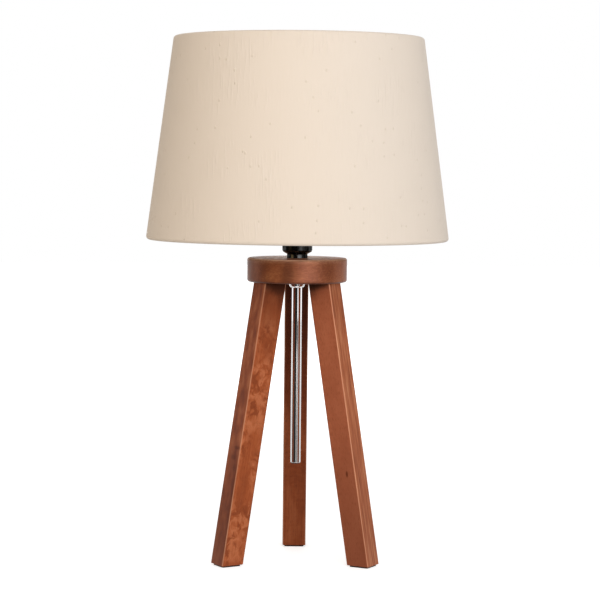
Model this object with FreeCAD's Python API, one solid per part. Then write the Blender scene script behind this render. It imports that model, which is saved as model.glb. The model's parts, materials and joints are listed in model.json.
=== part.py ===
import FreeCAD, Part
import math
import os

from FreeCAD import Vector

# Tripod table lamp in millimetres. +Z is up and the origin is on the floor, below the axis of the hub.
# -Y is the front: two legs stand forward of the axis and one behind it.

# Legs: square timber, splayed outwards, cut level at both ends.
leg_azimuths = {"leg_front_left": 210.0, "leg_front_right": 330.0, "leg_rear": 90.0}
leg_section = 24.0
leg_rise = 279.0
leg_splay = 9.5
leg_edge_round = 1.6
leg_setback = 18.7

# Felt pads under the legs.
pad_thickness = 1.5
pad_margin = 2.0
pad_corner_round = 2.0

# Hub: the turned disc that the legs hang from.
disc_diameter = 100.0
disc_thickness = 24.0
disc_edge_round = 2.2

# Leg fixings: a countersunk bolt through the disc into a threaded insert, and a dowel beside it.
bolt_diameter = 5.0
bolt_head_diameter = 9.6
bolt_recess = 0.3
bolt_reach = 10.5
bolt_hole_relief = 2.5
bolt_clearance = 0.25
socket_across_flats = 3.0
socket_depth = 1.6
insert_wall = 1.2
insert_length = 12.0
dowel_diameter = 5.0
dowel_bite = 9.0
dowel_relief = 0.6
dowel_chamfer = 0.7
dowel_wall = 2.8
fixing_web = 1.5
glue_fit = 0.04

# Cable tube: hangs below the hub and ends inside the lampholder's cap.
tube_diameter = 10.0
tube_wall = 1.0
tube_drop = 182.4
tube_engagement = 10.0
tube_lip_round = 0.45
tube_clearance = 0.2
thread_fit = 0.05

# Collar: the domed nut that pulls the tube up against the underside of the hub.
collar_diameter = 15.6
collar_height = 6.0
collar_rim = 1.8
collar_bowl_round = 4.6

# Bush: the insulating sleeve at the tube's lower end, where a cable comes in.
bush_length = 9.0
bush_flange_thickness = 0.8
bush_flange_lip = 0.5
bush_wall = 0.85

# Lampholder cap: a moulded cup on a narrow neck.
neck_foot_diameter = 21.2
neck_diameter = 20.5
neck_height = 3.9
neck_round = 0.8
shoulder_height = 2.7
shoulder_round = 2.2
cap_diameter = 30.2
cap_height = 25.0
cap_wall = 2.2
cap_floor = 3.4
cap_floor_round = 1.0
boss_wall = 2.2
lock_screw_diameter = 3.0
lock_screw_height = 2.0
lock_screw_recess = 0.5
screw_slot_width = 0.7
screw_slot_depth = 0.8

# Lampholder skirt: a flanged sleeve whose spigot screws into the cap.
flange_width = 3.8
flange_thickness = 2.0
flange_edge_round = 0.5
skirt_wall = 1.65
skirt_height = 13.8
skirt_rim_round = 0.6
spigot_wall = 2.8
spigot_length = 6.0

# Bayonet barrel: the metal sleeve with two J-shaped slots.
barrel_wall = 1.2
barrel_fit = 0.3
barrel_rim = 0.9
pin_seat_depth = 5.2
pin_slot_clearance = 0.4
bulb_travel = 2.5
bulb_unlock_angle = 25.0

# Contact block with sprung plungers and wire terminals.
plunger_spacing = 10.6
plunger_head_diameter = 4.4
plunger_head_thickness = 1.6
plunger_edge_round = 0.6
plunger_shank_diameter = 2.2
plunger_reach = 3.0
plunger_stop_gap = 0.5
sliding_fit = 0.06
block_floor = 3.0
spring_wire = 0.5
spring_turns = 4.0
spring_gap = 0.35
post_width = 5.4
post_wire_zone = 5.0
wire_hole_diameter = 2.4
wire_hole_roof = 1.0
terminal_screw_diameter = 2.4
terminal_head_diameter = 4.0
terminal_head_thickness = 1.3

# Bulb with a two-pin bayonet cap.
bulb_cap_diameter = 22.0
bulb_cap_length = 25.0
bulb_cap_wall = 0.8
bulb_cap_edge_round = 0.6
bulb_pin_diameter = 2.2
bulb_pin_span = 26.8
pin_above_contact = 6.5
contact_pad_height = 0.6
contact_pad_diameter = 5.0
insulator_thickness = 3.0
bulb_length = 108.0
bulb_diameter = 60.0
bulb_shell_wall = 1.5
bulb_joint_angle = 26.0
bulb_neck_diameter = 24.4
bulb_neck_edge_round = 0.8
bulb_neck_round = 12.0
bulb_spigot_length = 5.0

# Shade: fabric on a stiff liner, rolled over a wire ring at each end, carried by a three-armed fitter.
shade_top_diameter = 250.4
shade_bottom_diameter = 302.4
shade_height = 202.0
shade_fabric_thickness = 0.7
shade_liner_thickness = 0.8
shade_wire = 3.0
fitter_recess = 9.2
fitter_width = 7.45
fitter_thickness = 1.2
fitter_hole_clearance = 0.35
fitter_arm_count = 3
fitter_arm_azimuth = 30.0
fitter_arm_inset = 3.0
fitter_arm_bend = 8.0
weld_depth = 0.3
hem_clearance = 0.3
seat_gap = 0.05

# Shade ring: the threaded ring that clamps the fitter down on the skirt's flange.
ring_wall = 4.5
ring_height = 6.5
ring_edge_round = 0.7
ring_grip_count = 14
ring_grip_radius = 1.8
ring_grip_depth = 0.8
ring_thread_gap = 0.3

# Heights and radii that follow from the sizes above.
AXIS = Vector(0, 0, 1)
disc_bottom_z = pad_thickness + leg_rise
disc_top_z = disc_bottom_z + disc_thickness
splay = math.radians(leg_splay)
leg_top_radius = disc_diameter / 2 - leg_setback
leg_foot_radius = leg_top_radius + leg_rise * math.tan(splay)
leg_radial_half = leg_section / math.cos(splay) / 2
dowel_radius_at = leg_top_radius - leg_radial_half + dowel_wall + dowel_diameter / 2
insert_diameter = bolt_diameter + 2 * insert_wall
bolt_radius_at = dowel_radius_at + dowel_diameter / 2 + fixing_web + insert_diameter / 2

tube_radius = tube_diameter / 2
tube_bottom_z = disc_bottom_z - tube_drop
tube_top_z = disc_top_z + tube_engagement

flange_bottom_z = disc_top_z + cap_height
flange_top_z = flange_bottom_z + flange_thickness
skirt_top_z = flange_top_z + skirt_height
cap_bore_radius = cap_diameter / 2 - cap_wall
barrel_inner_radius = bulb_cap_diameter / 2 + barrel_fit
barrel_outer_radius = barrel_inner_radius + barrel_wall
skirt_radius = barrel_outer_radius + thread_fit + skirt_wall
bulb_pin_radius = bulb_pin_diameter / 2
slot_half_width = bulb_pin_radius + pin_slot_clearance
barrel_top_z = skirt_top_z + pin_seat_depth + bulb_travel + slot_half_width + barrel_rim
pin_z = barrel_top_z - pin_seat_depth
contact_z = pin_z - pin_above_contact
plunger_head_z = contact_z - plunger_head_thickness
block_top_z = plunger_head_z - bulb_travel - plunger_stop_gap
spring_seat_z = flange_bottom_z + block_floor
post_bottom_z = flange_bottom_z - plunger_reach - bulb_travel - plunger_stop_gap - post_wire_zone

fitter_bottom_z = flange_top_z + seat_gap
fitter_top_z = fitter_bottom_z + fitter_thickness
fitter_hole_radius = skirt_radius + fitter_hole_clearance
fitter_radius = fitter_hole_radius + fitter_width
shade_bottom_z = fitter_bottom_z - fitter_recess
shade_top_z = shade_bottom_z + shade_height


def on_circle(radius, azimuth, height=0.0):
    """The point at a radius and azimuth in degrees from the lamp's axis."""
    angle = math.radians(azimuth)
    return Vector(radius * math.cos(angle), radius * math.sin(angle), height)


def rounded_wire(corners):
    """A closed wire in the XZ plane through (x, z, round) corners, each corner eased by its round."""
    points = [Vector(x, 0, z) for x, z, _ in corners]
    arcs = []
    for index, (_, _, radius) in enumerate(corners):
        here = points[index]
        if radius == 0:
            arcs.append((here, None, here))
            continue
        back = (points[index - 1] - here).normalize()
        ahead = (points[(index + 1) % len(points)] - here).normalize()
        half_angle = back.getAngle(ahead) / 2
        reach = radius / math.tan(half_angle)
        middle = here + (back + ahead).normalize() * (radius / math.sin(half_angle) - radius)
        arcs.append((here + back * reach, middle, here + ahead * reach))
    edges = []
    for index, (enter, middle, leave) in enumerate(arcs):
        if middle is not None:
            edges.append(Part.Arc(enter, middle, leave).toShape())
        following = arcs[(index + 1) % len(arcs)][0]
        if leave.distanceToPoint(following) > 1e-6:
            edges.append(Part.LineSegment(leave, following).toShape())
    return Part.Wire(edges)


def turned(*corners):
    """The solid that a rounded outline of (radius, height, round) corners sweeps about the lamp's axis."""
    return Part.Face(rounded_wire(corners)).revolve(Vector(0, 0, 0), AXIS, 360)


def rod(diameter, start, end):
    """A round bar from one point to another."""
    return Part.makeCylinder(diameter / 2, (end - start).Length, start, end - start)


def upright(diameter, centre, low, high):
    """A vertical round bar over a point, between two heights."""
    return rod(diameter, Vector(centre.x, centre.y, low), Vector(centre.x, centre.y, high))


def placed(shape, azimuth):
    """A copy of a shape drawn along +X, turned to an azimuth about the lamp's axis."""
    copy = shape.copy()
    copy.rotate(Vector(0, 0, 0), AXIS, azimuth)
    return copy


def at_each_leg(shape):
    """One copy of a shape for each leg, as a group of separate solids."""
    return Part.makeCompound([placed(shape, azimuth) for azimuth in leg_azimuths.values()])


def upright_edges(shape):
    """The straight vertical edges of a shape."""
    lines = [edge for edge in shape.Edges if isinstance(edge.Curve, Part.Line)]
    return [edge for edge in lines if edge.Curve.Direction.cross(AXIS).Length < 1e-6]


# Base: legs, hub and their fixings.

def leg():
    """A square bar leaning inwards as it rises, sawn level at the foot and under the hub, bored on top."""
    half = leg_section / 2
    overrun = leg_section
    stock_length = leg_rise / math.cos(splay) + 2 * overrun
    stock = Part.makeBox(leg_section, leg_section, stock_length, Vector(-half, -half, -overrun))
    stock = stock.makeFillet(leg_edge_round, upright_edges(stock))
    stock.rotate(Vector(0, 0, 0), Vector(0, 1, 0), -leg_splay)
    stock.translate(Vector(leg_foot_radius, 0, pad_thickness))
    reach = leg_foot_radius + leg_section
    level = Part.makeBox(2 * reach, 2 * reach, leg_rise, Vector(-reach, -reach, pad_thickness))
    shaped = stock.common(level)
    insert_seat = disc_bottom_z - insert_length
    shaped = shaped.cut(upright(insert_diameter + 2 * glue_fit, Vector(bolt_radius_at, 0, 0),
                                insert_seat, disc_bottom_z))
    shaped = shaped.cut(upright(bolt_diameter + 2 * bolt_clearance, Vector(bolt_radius_at, 0, 0),
                                insert_seat - bolt_hole_relief, disc_bottom_z))
    return shaped.cut(upright(dowel_diameter + 2 * glue_fit, Vector(dowel_radius_at, 0, 0),
                              disc_bottom_z - dowel_bite - dowel_relief, disc_bottom_z))


def foot_pad():
    """A felt pad set back from the sawn end of a leg."""
    length = 2 * (leg_radial_half - pad_margin)
    width = leg_section - 2 * pad_margin
    pad = Part.makeBox(length, width, pad_thickness, Vector(leg_foot_radius - length / 2, -width / 2, 0))
    return pad.makeFillet(pad_corner_round, upright_edges(pad))


def countersink(gap):
    """The head cone of a leg bolt, which seats in the disc, on a shank grown by a gap."""
    head_top = disc_top_z - bolt_recess
    head_radius = bolt_head_diameter / 2
    shank_radius = bolt_diameter / 2 + gap
    cone_bottom = head_top - (head_radius - shank_radius)
    tip = disc_bottom_z - bolt_reach
    bolt = turned((0, tip, 0), (shank_radius, tip, 0), (shank_radius, cone_bottom, 0),
                  (head_radius, head_top, 0), (0, head_top, 0))
    bolt.translate(Vector(bolt_radius_at, 0, 0))
    return bolt


def leg_bolt():
    """A countersunk bolt with a hexagon socket."""
    head_top = disc_top_z - bolt_recess
    corner_radius = socket_across_flats / math.sqrt(3)
    corners = [Vector(bolt_radius_at, 0, head_top - socket_depth) + on_circle(corner_radius, 60.0 * turn)
               for turn in range(7)]
    socket = Part.Face(Part.makePolygon(corners)).extrude(Vector(0, 0, socket_depth))
    return countersink(0).cut(socket)


def leg_insert():
    """The threaded sleeve in the top of a leg."""
    centre = Vector(bolt_radius_at, 0, 0)
    low = disc_bottom_z - insert_length
    sleeve = upright(insert_diameter, centre, low, disc_bottom_z)
    return sleeve.cut(upright(bolt_diameter + 2 * thread_fit, centre, low, disc_bottom_z))


def leg_dowel():
    """A chamfered peg, half in the leg and half in the hub."""
    centre = Vector(dowel_radius_at, 0, 0)
    peg = upright(dowel_diameter, centre, disc_bottom_z - dowel_bite, disc_bottom_z + dowel_bite)
    rims = [edge for edge in peg.Edges if isinstance(edge.Curve, Part.Circle)]
    return peg.makeChamfer(dowel_chamfer, rims)


def hub_disc():
    """The turned disc, bored for the tube, the leg bolts and the dowels."""
    radius = disc_diameter / 2
    bore_radius = tube_radius + tube_clearance
    disc = turned((bore_radius, disc_bottom_z, 0), (radius, disc_bottom_z, disc_edge_round),
                  (radius, disc_top_z, disc_edge_round), (bore_radius, disc_top_z, 0))
    mouth = Part.makeCylinder(bolt_head_diameter / 2 + bolt_clearance, bolt_recess,
                              Vector(bolt_radius_at, 0, disc_top_z - bolt_recess))
    bolt_hole = countersink(bolt_clearance).fuse(mouth)
    dowel_hole = upright(dowel_diameter + 2 * glue_fit, Vector(dowel_radius_at, 0, 0),
                         disc_bottom_z, disc_bottom_z + dowel_bite + dowel_relief)
    return disc.cut(at_each_leg(bolt_hole)).cut(at_each_leg(dowel_hole))


# Cable tube and the pieces on it.

def cable_tube():
    """The plated tube, with a rounded lip at its lower end."""
    inner = tube_radius - tube_wall
    return turned((inner, tube_bottom_z, 0), (tube_radius, tube_bottom_z, tube_lip_round),
                  (tube_radius, tube_top_z, 0), (inner, tube_top_z, 0))


def tube_collar():
    """The domed nut under the hub."""
    radius = collar_diameter / 2
    bore = tube_radius + thread_fit
    bowl_top = disc_bottom_z - collar_rim
    bottom = disc_bottom_z - collar_height
    return turned((bore, disc_bottom_z, 0), (radius, disc_bottom_z, 0), (radius, bowl_top, 0),
                  (radius, bottom, min(collar_bowl_round, collar_height - collar_rim - tube_lip_round)),
                  (bore, bottom, 0))


def tube_bush():
    """The flanged sleeve in the tube's lower end."""
    sleeve = tube_radius - tube_wall - thread_fit
    bore = sleeve - bush_wall
    flange = tube_radius - bush_flange_lip
    flange_low = tube_bottom_z - bush_flange_thickness
    return turned((bore, flange_low, 0), (flange, flange_low, 0), (flange, tube_bottom_z, 0),
                  (sleeve, tube_bottom_z, 0), (sleeve, tube_bottom_z + bush_length, 0),
                  (bore, tube_bottom_z + bush_length, 0))


# Lampholder.

def holder_cap():
    """The black cup: a flared neck, a rounded shoulder and a straight wall, with a threaded boss inside."""
    bore = tube_radius + thread_fit
    outer = cap_diameter / 2
    neck = neck_diameter / 2
    shoulder_z = disc_top_z + neck_height
    wall_z = shoulder_z + shoulder_height
    boss = bore + boss_wall
    floor_z = shoulder_z + cap_floor
    boss_top = tube_top_z
    cup = turned((bore, disc_top_z, 0), (neck_foot_diameter / 2, disc_top_z, 0),
                 (neck, shoulder_z, neck_round), (outer, wall_z, shoulder_round),
                 (outer, flange_bottom_z, 0), (cap_bore_radius, flange_bottom_z, 0),
                 (cap_bore_radius, floor_z, cap_floor_round), (boss, floor_z, 0),
                 (boss, boss_top, 0), (bore, boss_top, 0))
    return cup.cut(lock_screw_bar(0, outer, lock_screw_diameter + 2 * thread_fit))


def lock_screw_bar(near, far, diameter):
    """A bar along the lock screw's axis, which points to the rear through the neck."""
    height = disc_top_z + lock_screw_height
    return rod(diameter, Vector(0, near, height), Vector(0, far, height))


def cap_lock_screw():
    """The slotted grub screw that keeps the cap from turning on the tube."""
    outer_end = neck_diameter / 2 - lock_screw_recess
    screw = lock_screw_bar(tube_radius, outer_end, lock_screw_diameter)
    screw = screw.cut(Part.makeCylinder(tube_radius, tube_top_z))
    slot = Part.makeBox(lock_screw_diameter, screw_slot_depth, screw_slot_width,
                        Vector(-lock_screw_diameter / 2, outer_end - screw_slot_depth,
                               disc_top_z + lock_screw_height - screw_slot_width / 2))
    return screw.cut(slot)


def holder_skirt():
    """The sleeve that carries the shade: a spigot in the cap, a flange and a threaded skirt."""
    spigot = cap_bore_radius - thread_fit
    flange = skirt_radius + flange_width
    seat = barrel_outer_radius + thread_fit
    throat = spigot - spigot_wall
    spigot_bottom = flange_bottom_z - spigot_length
    return turned((throat, spigot_bottom, 0), (spigot, spigot_bottom, 0), (spigot, flange_bottom_z, 0),
                  (flange, flange_bottom_z, flange_edge_round), (flange, flange_top_z, flange_edge_round),
                  (skirt_radius, flange_top_z, 0), (skirt_radius, skirt_top_z, skirt_rim_round),
                  (seat, skirt_top_z, 0), (seat, flange_bottom_z, 0), (throat, flange_bottom_z, 0))


def slot_section(share):
    """A radial cross-section of the slanted part of a bayonet slot, at a share of the unlocking turn."""
    angle = bulb_unlock_angle * share
    height = pin_z - bulb_travel * share
    inner = barrel_inner_radius - barrel_wall
    outer = barrel_outer_radius + barrel_wall
    slope = math.atan2(bulb_travel, math.radians(bulb_unlock_angle) * barrel_outer_radius)
    half = slot_half_width / math.cos(slope)
    corners = [on_circle(inner, angle, height - half), on_circle(outer, angle, height - half),
               on_circle(outer, angle, height + half), on_circle(inner, angle, height + half)]
    return Part.makePolygon(corners + corners[:1])


def bayonet_slot():
    """The J-shaped path of a bulb pin: down from the rim, then up the slant to the seat."""
    inner = barrel_inner_radius - barrel_wall
    outer = barrel_outer_radius + barrel_wall
    low = pin_z - bulb_travel
    slant = Part.makeLoft([slot_section(share) for share in (0.0, 0.5, 1.0)], True, False)
    seat = rod(2 * slot_half_width, Vector(inner, 0, pin_z), Vector(outer, 0, pin_z))
    turn = rod(2 * slot_half_width, Vector(inner, 0, low), Vector(outer, 0, low))
    entry = Part.makeBox(outer - inner, 2 * slot_half_width, barrel_top_z - low,
                         Vector(inner, -slot_half_width, low))
    return slant.fuse([seat, placed(turn, bulb_unlock_angle), placed(entry, bulb_unlock_angle)])


def bayonet_barrel():
    """The sleeve that holds the bulb cap, with a bayonet slot on each side."""
    barrel = turned((barrel_inner_radius, flange_bottom_z, 0), (barrel_outer_radius, flange_bottom_z, 0),
                    (barrel_outer_radius, barrel_top_z, 0), (barrel_inner_radius, barrel_top_z, 0))
    slot = bayonet_slot()
    return barrel.cut(slot).cut(placed(slot, 180.0))


def at_both_contacts(shape):
    """Two copies of a shape drawn at the contact on +X, set on the +Y and -Y contacts."""
    return Part.makeCompound([placed(shape, 90.0), placed(shape, 270.0)])


def contact_block():
    """The insulating block, bored for the two plungers and their springs."""
    radius = barrel_inner_radius - thread_fit
    block = Part.makeCylinder(radius, block_top_z - flange_bottom_z, Vector(0, 0, flange_bottom_z))
    centre = Vector(plunger_spacing / 2, 0, 0)
    guide = upright(plunger_shank_diameter + 2 * sliding_fit, centre, flange_bottom_z, block_top_z)
    well = upright(plunger_head_diameter + 2 * spring_gap, centre, spring_seat_z, block_top_z)
    return block.cut(at_both_contacts(guide.fuse(well)))


def contact_plunger():
    """A domed head on a shank that slides through the block into its terminal."""
    head = plunger_head_diameter / 2
    shank = plunger_shank_diameter / 2
    tip = flange_bottom_z - plunger_reach
    plunger = turned((0, tip, 0), (shank, tip, 0), (shank, plunger_head_z, 0), (head, plunger_head_z, 0),
                     (head, contact_z, plunger_edge_round), (0, contact_z, 0))
    plunger.translate(Vector(plunger_spacing / 2, 0, 0))
    return plunger


def plunger_spring():
    """A coil spring round a plunger's shank, from the well's floor to the head."""
    wire = spring_wire / 2
    coil_radius = plunger_shank_diameter / 2 + spring_gap + wire
    rise = plunger_head_z - spring_seat_z - spring_wire
    path = Part.makeLongHelix(rise / spring_turns, rise, coil_radius, 0)
    first = path.Edges[0]
    along = first.tangentAt(first.FirstParameter)
    section = Part.Wire(Part.makeCircle(wire, Vector(coil_radius, 0, 0), along))
    coil = path.makePipeShell([section], True, True)
    coil.translate(Vector(plunger_spacing / 2, 0, spring_seat_z + wire))
    return coil


def terminal_post():
    """The brass block under a plunger, with a wire hole from below and a clamping screw from the side."""
    half = post_width / 2
    middle = plunger_spacing / 2
    post = Part.makeBox(post_width, post_width, flange_bottom_z - post_bottom_z,
                        Vector(middle - half, -half, post_bottom_z))
    centre = Vector(middle, 0, 0)
    socket = upright(plunger_shank_diameter + 2 * sliding_fit, centre,
                     post_bottom_z + post_wire_zone, flange_bottom_z)
    wire_hole = upright(wire_hole_diameter, centre,
                        post_bottom_z, post_bottom_z + post_wire_zone - wire_hole_roof)
    height = post_bottom_z + post_wire_zone / 2
    screw_hole = rod(terminal_screw_diameter + 2 * thread_fit, Vector(middle, 0, height),
                     Vector(middle + post_width, 0, height))
    return post.cut(socket).cut(wire_hole).cut(screw_hole)


def terminal_screw():
    """The clamping screw of a terminal, with a slotted head."""
    height = post_bottom_z + post_wire_zone / 2
    face = (plunger_spacing + post_width) / 2
    head_end = face + terminal_head_thickness
    shank_start = plunger_spacing / 2 + wire_hole_diameter / 2
    shank = rod(terminal_screw_diameter, Vector(shank_start, 0, height), Vector(face, 0, height))
    head = rod(terminal_head_diameter, Vector(face, 0, height), Vector(head_end, 0, height))
    slot = Part.makeBox(screw_slot_depth, terminal_head_diameter, screw_slot_width,
                        Vector(head_end - screw_slot_depth, -terminal_head_diameter / 2,
                               height - screw_slot_width / 2))
    return shank.fuse(head).removeSplitter().cut(slot)


# Bulb.

def bulb_cap():
    """The plated shell of the bulb's cap, pierced for its two pins."""
    outer = bulb_cap_diameter / 2
    inner = outer - bulb_cap_wall
    low = contact_z + contact_pad_height
    high = contact_z + bulb_cap_length
    shell = turned((inner, low, 0), (outer, low, bulb_cap_edge_round), (outer, high, 0), (inner, high, 0))
    return shell.cut(rod(bulb_pin_diameter, Vector(-outer, 0, pin_z), Vector(outer, 0, pin_z)))


def bulb_pin():
    """One of the two round pins that hang in the bayonet slots."""
    inner = bulb_cap_diameter / 2 - bulb_cap_wall
    return rod(bulb_pin_diameter, Vector(inner, 0, pin_z), Vector(bulb_pin_span / 2, 0, pin_z))


def bulb_insulator():
    """The glass disc that closes the cap and carries the contact pads."""
    radius = bulb_cap_diameter / 2 - bulb_cap_wall
    return Part.makeCylinder(radius, insulator_thickness, Vector(0, 0, contact_z + contact_pad_height))


def bulb_contact():
    """A solder pad, proud of the insulator by its height."""
    return upright(contact_pad_diameter, Vector(plunger_spacing / 2, 0, 0),
                   contact_z, contact_z + contact_pad_height)


def bulb_joint():
    """Radius and height of the seam between the housing and the globe, and the globe's centre height."""
    globe = bulb_diameter / 2
    centre_z = contact_z + bulb_length - globe
    drop = math.radians(bulb_joint_angle)
    return globe * math.cos(drop), centre_z - globe * math.sin(drop), centre_z


def bulb_housing():
    """The hollow body that flares from the cap to the globe."""
    joint_radius, joint_z, _ = bulb_joint()
    slope = math.tan(math.radians(bulb_joint_angle))
    neck = bulb_neck_diameter / 2
    cap_top = contact_z + bulb_cap_length
    spigot = bulb_cap_diameter / 2 - bulb_cap_wall - glue_fit
    bend_z = joint_z - (joint_radius - neck) / slope
    shell = bulb_shell_wall
    return turned((spigot - shell, cap_top - bulb_spigot_length, 0),
                  (spigot, cap_top - bulb_spigot_length, 0), (spigot, cap_top, 0),
                  (neck, cap_top, bulb_neck_edge_round), (neck, bend_z, bulb_neck_round),
                  (joint_radius, joint_z, 0), (joint_radius - shell, joint_z, 0),
                  (neck - shell, bend_z, bulb_neck_round), (neck - shell, cap_top + shell, 0),
                  (spigot - shell, cap_top + shell, 0))


def bulb_globe():
    """The thin opal globe, part of a sphere that opens on the housing."""
    joint_radius, joint_z, centre_z = bulb_joint()
    globe = bulb_diameter / 2
    inner = globe - bulb_shell_wall
    drop = math.radians(bulb_joint_angle)
    middle = (math.pi / 2 - drop) / 2

    def at(radius, angle):
        return Vector(radius * math.cos(angle), 0, centre_z + radius * math.sin(angle))

    inner_drop = -math.asin((centre_z - joint_z) / inner)
    outside = Part.Arc(at(globe, -drop), at(globe, middle), at(globe, math.pi / 2)).toShape()
    crown = Part.LineSegment(at(globe, math.pi / 2), at(inner, math.pi / 2)).toShape()
    inside = Part.Arc(at(inner, math.pi / 2), at(inner, middle), at(inner, inner_drop)).toShape()
    rim = Part.LineSegment(at(inner, inner_drop), at(globe, -drop)).toShape()
    return Part.Face(Part.Wire([outside, crown, inside, rim])).revolve(Vector(0, 0, 0), AXIS, 360)


# Shade.

class ShadeWall:
    """The slanting section of the shade: where its wall, its wires and its rolled hems lie."""

    def __init__(self):
        bottom_radius = shade_bottom_diameter / 2
        top_radius = shade_top_diameter / 2
        lean = math.atan2(bottom_radius - top_radius, shade_height)
        self.out = Vector(math.cos(lean), 0, math.sin(lean))
        self.up = Vector(-math.sin(lean), 0, math.cos(lean))
        self.roll = shade_wire / 2 + shade_liner_thickness + shade_fabric_thickness
        self.bottom_centre = self.centre_at(shade_bottom_z + self.roll, bottom_radius, lean)
        self.top_centre = self.centre_at(shade_top_z - self.roll, top_radius, lean)

    def centre_at(self, height, edge_radius, lean):
        """The centre of a wire whose hem reaches the edge radius."""
        return Vector(edge_radius - self.roll / math.cos(lean), 0, height)

    def point(self, centre, distance, angle):
        """A point at a distance from a wire's centre, at an angle up from the wall's outward side."""
        return centre + self.out * (distance * math.cos(angle)) + self.up * (distance * math.sin(angle))


wall = ShadeWall()


def shade_fabric():
    """The outer fabric, turned in over both wires as far as leaves room for the arms."""
    outer = wall.roll
    inner = outer - shade_fabric_thickness
    wrap = math.pi - math.asin((shade_wire / 2 + hem_clearance) / inner)
    low, high = wall.bottom_centre, wall.top_centre

    def arc(centre, distance, start, end):
        middle = (start + end) / 2
        return Part.Arc(wall.point(centre, distance, start), wall.point(centre, distance, middle),
                        wall.point(centre, distance, end)).toShape()

    def line(start, end):
        return Part.LineSegment(start, end).toShape()

    edges = [line(wall.point(low, outer, 0), wall.point(high, outer, 0)),
             arc(high, outer, 0, wrap),
             line(wall.point(high, outer, wrap), wall.point(high, inner, wrap)),
             arc(high, inner, wrap, 0),
             line(wall.point(high, inner, 0), wall.point(low, inner, 0)),
             arc(low, inner, 0, -wrap),
             line(wall.point(low, inner, -wrap), wall.point(low, outer, -wrap)),
             arc(low, outer, -wrap, 0)]
    return Part.Face(Part.Wire(edges)).revolve(Vector(0, 0, 0), AXIS, 360)


def shade_liner():
    """The stiff conical liner, from hem to hem behind the fabric."""
    back = shade_wire / 2
    front = back + shade_liner_thickness - glue_fit
    low, high = wall.bottom_centre, wall.top_centre
    corners = [wall.point(low, back, 0), wall.point(low, front, 0),
               wall.point(high, front, 0), wall.point(high, back, 0)]
    return turned(*[(corner.x, corner.z, 0) for corner in corners])


def wire_ring(centre):
    """A round wire bent to a circle through a section centre, touching the liner."""
    return Part.makeTorus(centre.x, shade_wire / 2 - glue_fit, Vector(0, 0, centre.z))


def fitter_ring():
    """The flat washer that sits on the skirt's flange."""
    return turned((fitter_hole_radius, fitter_bottom_z, 0), (fitter_radius, fitter_bottom_z, 0),
                  (fitter_radius, fitter_top_z, 0), (fitter_hole_radius, fitter_top_z, 0))


def fitter_arm():
    """A wire arm: level where it is welded under the washer, then down to its weld on the bottom wire."""
    level_z = fitter_bottom_z - shade_wire / 2 + weld_depth
    start = Vector(fitter_radius - fitter_arm_inset, 0, level_z)
    bend = start + Vector(fitter_arm_inset + fitter_arm_bend, 0, 0)
    end = wall.bottom_centre
    slope = (end - bend).normalize()
    enter = bend - Vector(fitter_arm_bend, 0, 0)
    leave = bend + slope * fitter_arm_bend
    radius = fitter_arm_bend / math.tan(slope.getAngle(Vector(1, 0, 0)) / 2)
    centre = enter - Vector(0, 0, radius)
    middle = centre + ((enter - centre) + (leave - centre)).normalize() * radius
    path = Part.Wire([Part.LineSegment(start, enter).toShape(), Part.Arc(enter, middle, leave).toShape(),
                      Part.LineSegment(leave, end).toShape()])
    section = Part.Wire(Part.makeCircle(shade_wire / 2, start, Vector(1, 0, 0)))
    arm = path.makePipeShell([section], True, True)
    return arm.cut(fitter_ring()).cut(wire_ring(wall.bottom_centre))


def fitter_arms():
    """The fitter's arms, evenly spread."""
    arm = fitter_arm()
    spread = 360.0 / fitter_arm_count
    return Part.makeCompound([placed(arm, fitter_arm_azimuth + spread * index)
                              for index in range(fitter_arm_count)])


def shade_ring():
    """The clamping ring, scalloped for the fingers."""
    low = fitter_top_z + seat_gap
    bore = skirt_radius + ring_thread_gap
    radius = bore + ring_wall
    high = low + ring_height
    ring = turned((bore, low, 0), (radius, low, ring_edge_round), (radius, high, ring_edge_round),
                  (bore, high, 0))
    grip_at = radius - ring_grip_depth + ring_grip_radius
    grip = upright(2 * ring_grip_radius, Vector(grip_at, 0, 0), low, high)
    spread = 360.0 / ring_grip_count
    return ring.cut([placed(grip, spread * index) for index in range(ring_grip_count)])


def build():
    """Every sub-part by its node name."""
    shapes = {name: placed(leg(), azimuth) for name, azimuth in leg_azimuths.items()}
    shapes.update({
        "foot_pads": at_each_leg(foot_pad()),
        "hub_disc": hub_disc(),
        "leg_bolts": at_each_leg(leg_bolt()),
        "leg_inserts": at_each_leg(leg_insert()),
        "leg_dowels": at_each_leg(leg_dowel()),
        "cable_tube": cable_tube(),
        "tube_collar": tube_collar(),
        "tube_bush": tube_bush(),
        "holder_cap": holder_cap(),
        "cap_lock_screw": cap_lock_screw(),
        "holder_skirt": holder_skirt(),
        "bayonet_barrel": bayonet_barrel(),
        "contact_block": contact_block(),
        "terminal_posts": at_both_contacts(terminal_post()),
        "terminal_screws": at_both_contacts(terminal_screw()),
        "plunger_springs": at_both_contacts(plunger_spring()),
        "contact_plungers": at_both_contacts(contact_plunger()),
        "bulb_cap": bulb_cap(),
        "bulb_pins": Part.makeCompound([bulb_pin(), placed(bulb_pin(), 180.0)]),
        "bulb_insulator": bulb_insulator(),
        "bulb_contacts": at_both_contacts(bulb_contact()),
        "bulb_housing": bulb_housing(),
        "bulb_globe": bulb_globe(),
        "shade_fabric": shade_fabric(),
        "shade_liner": shade_liner(),
        "shade_top_wire": wire_ring(wall.top_centre),
        "shade_bottom_wire": wire_ring(wall.bottom_centre),
        "fitter_ring": fitter_ring(),
        "fitter_arms": fitter_arms(),
        "shade_ring": shade_ring(),
    })
    return shapes


os.makedirs("parts", exist_ok=True)
for node, shape in build().items():
    shape.exportStep(os.path.join("parts", node + ".step"))
    state = "valid" if shape.isValid() else "INVALID"
    print(node, len(shape.Solids), "solids", round(shape.Volume, 2), "mm3", state)
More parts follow.
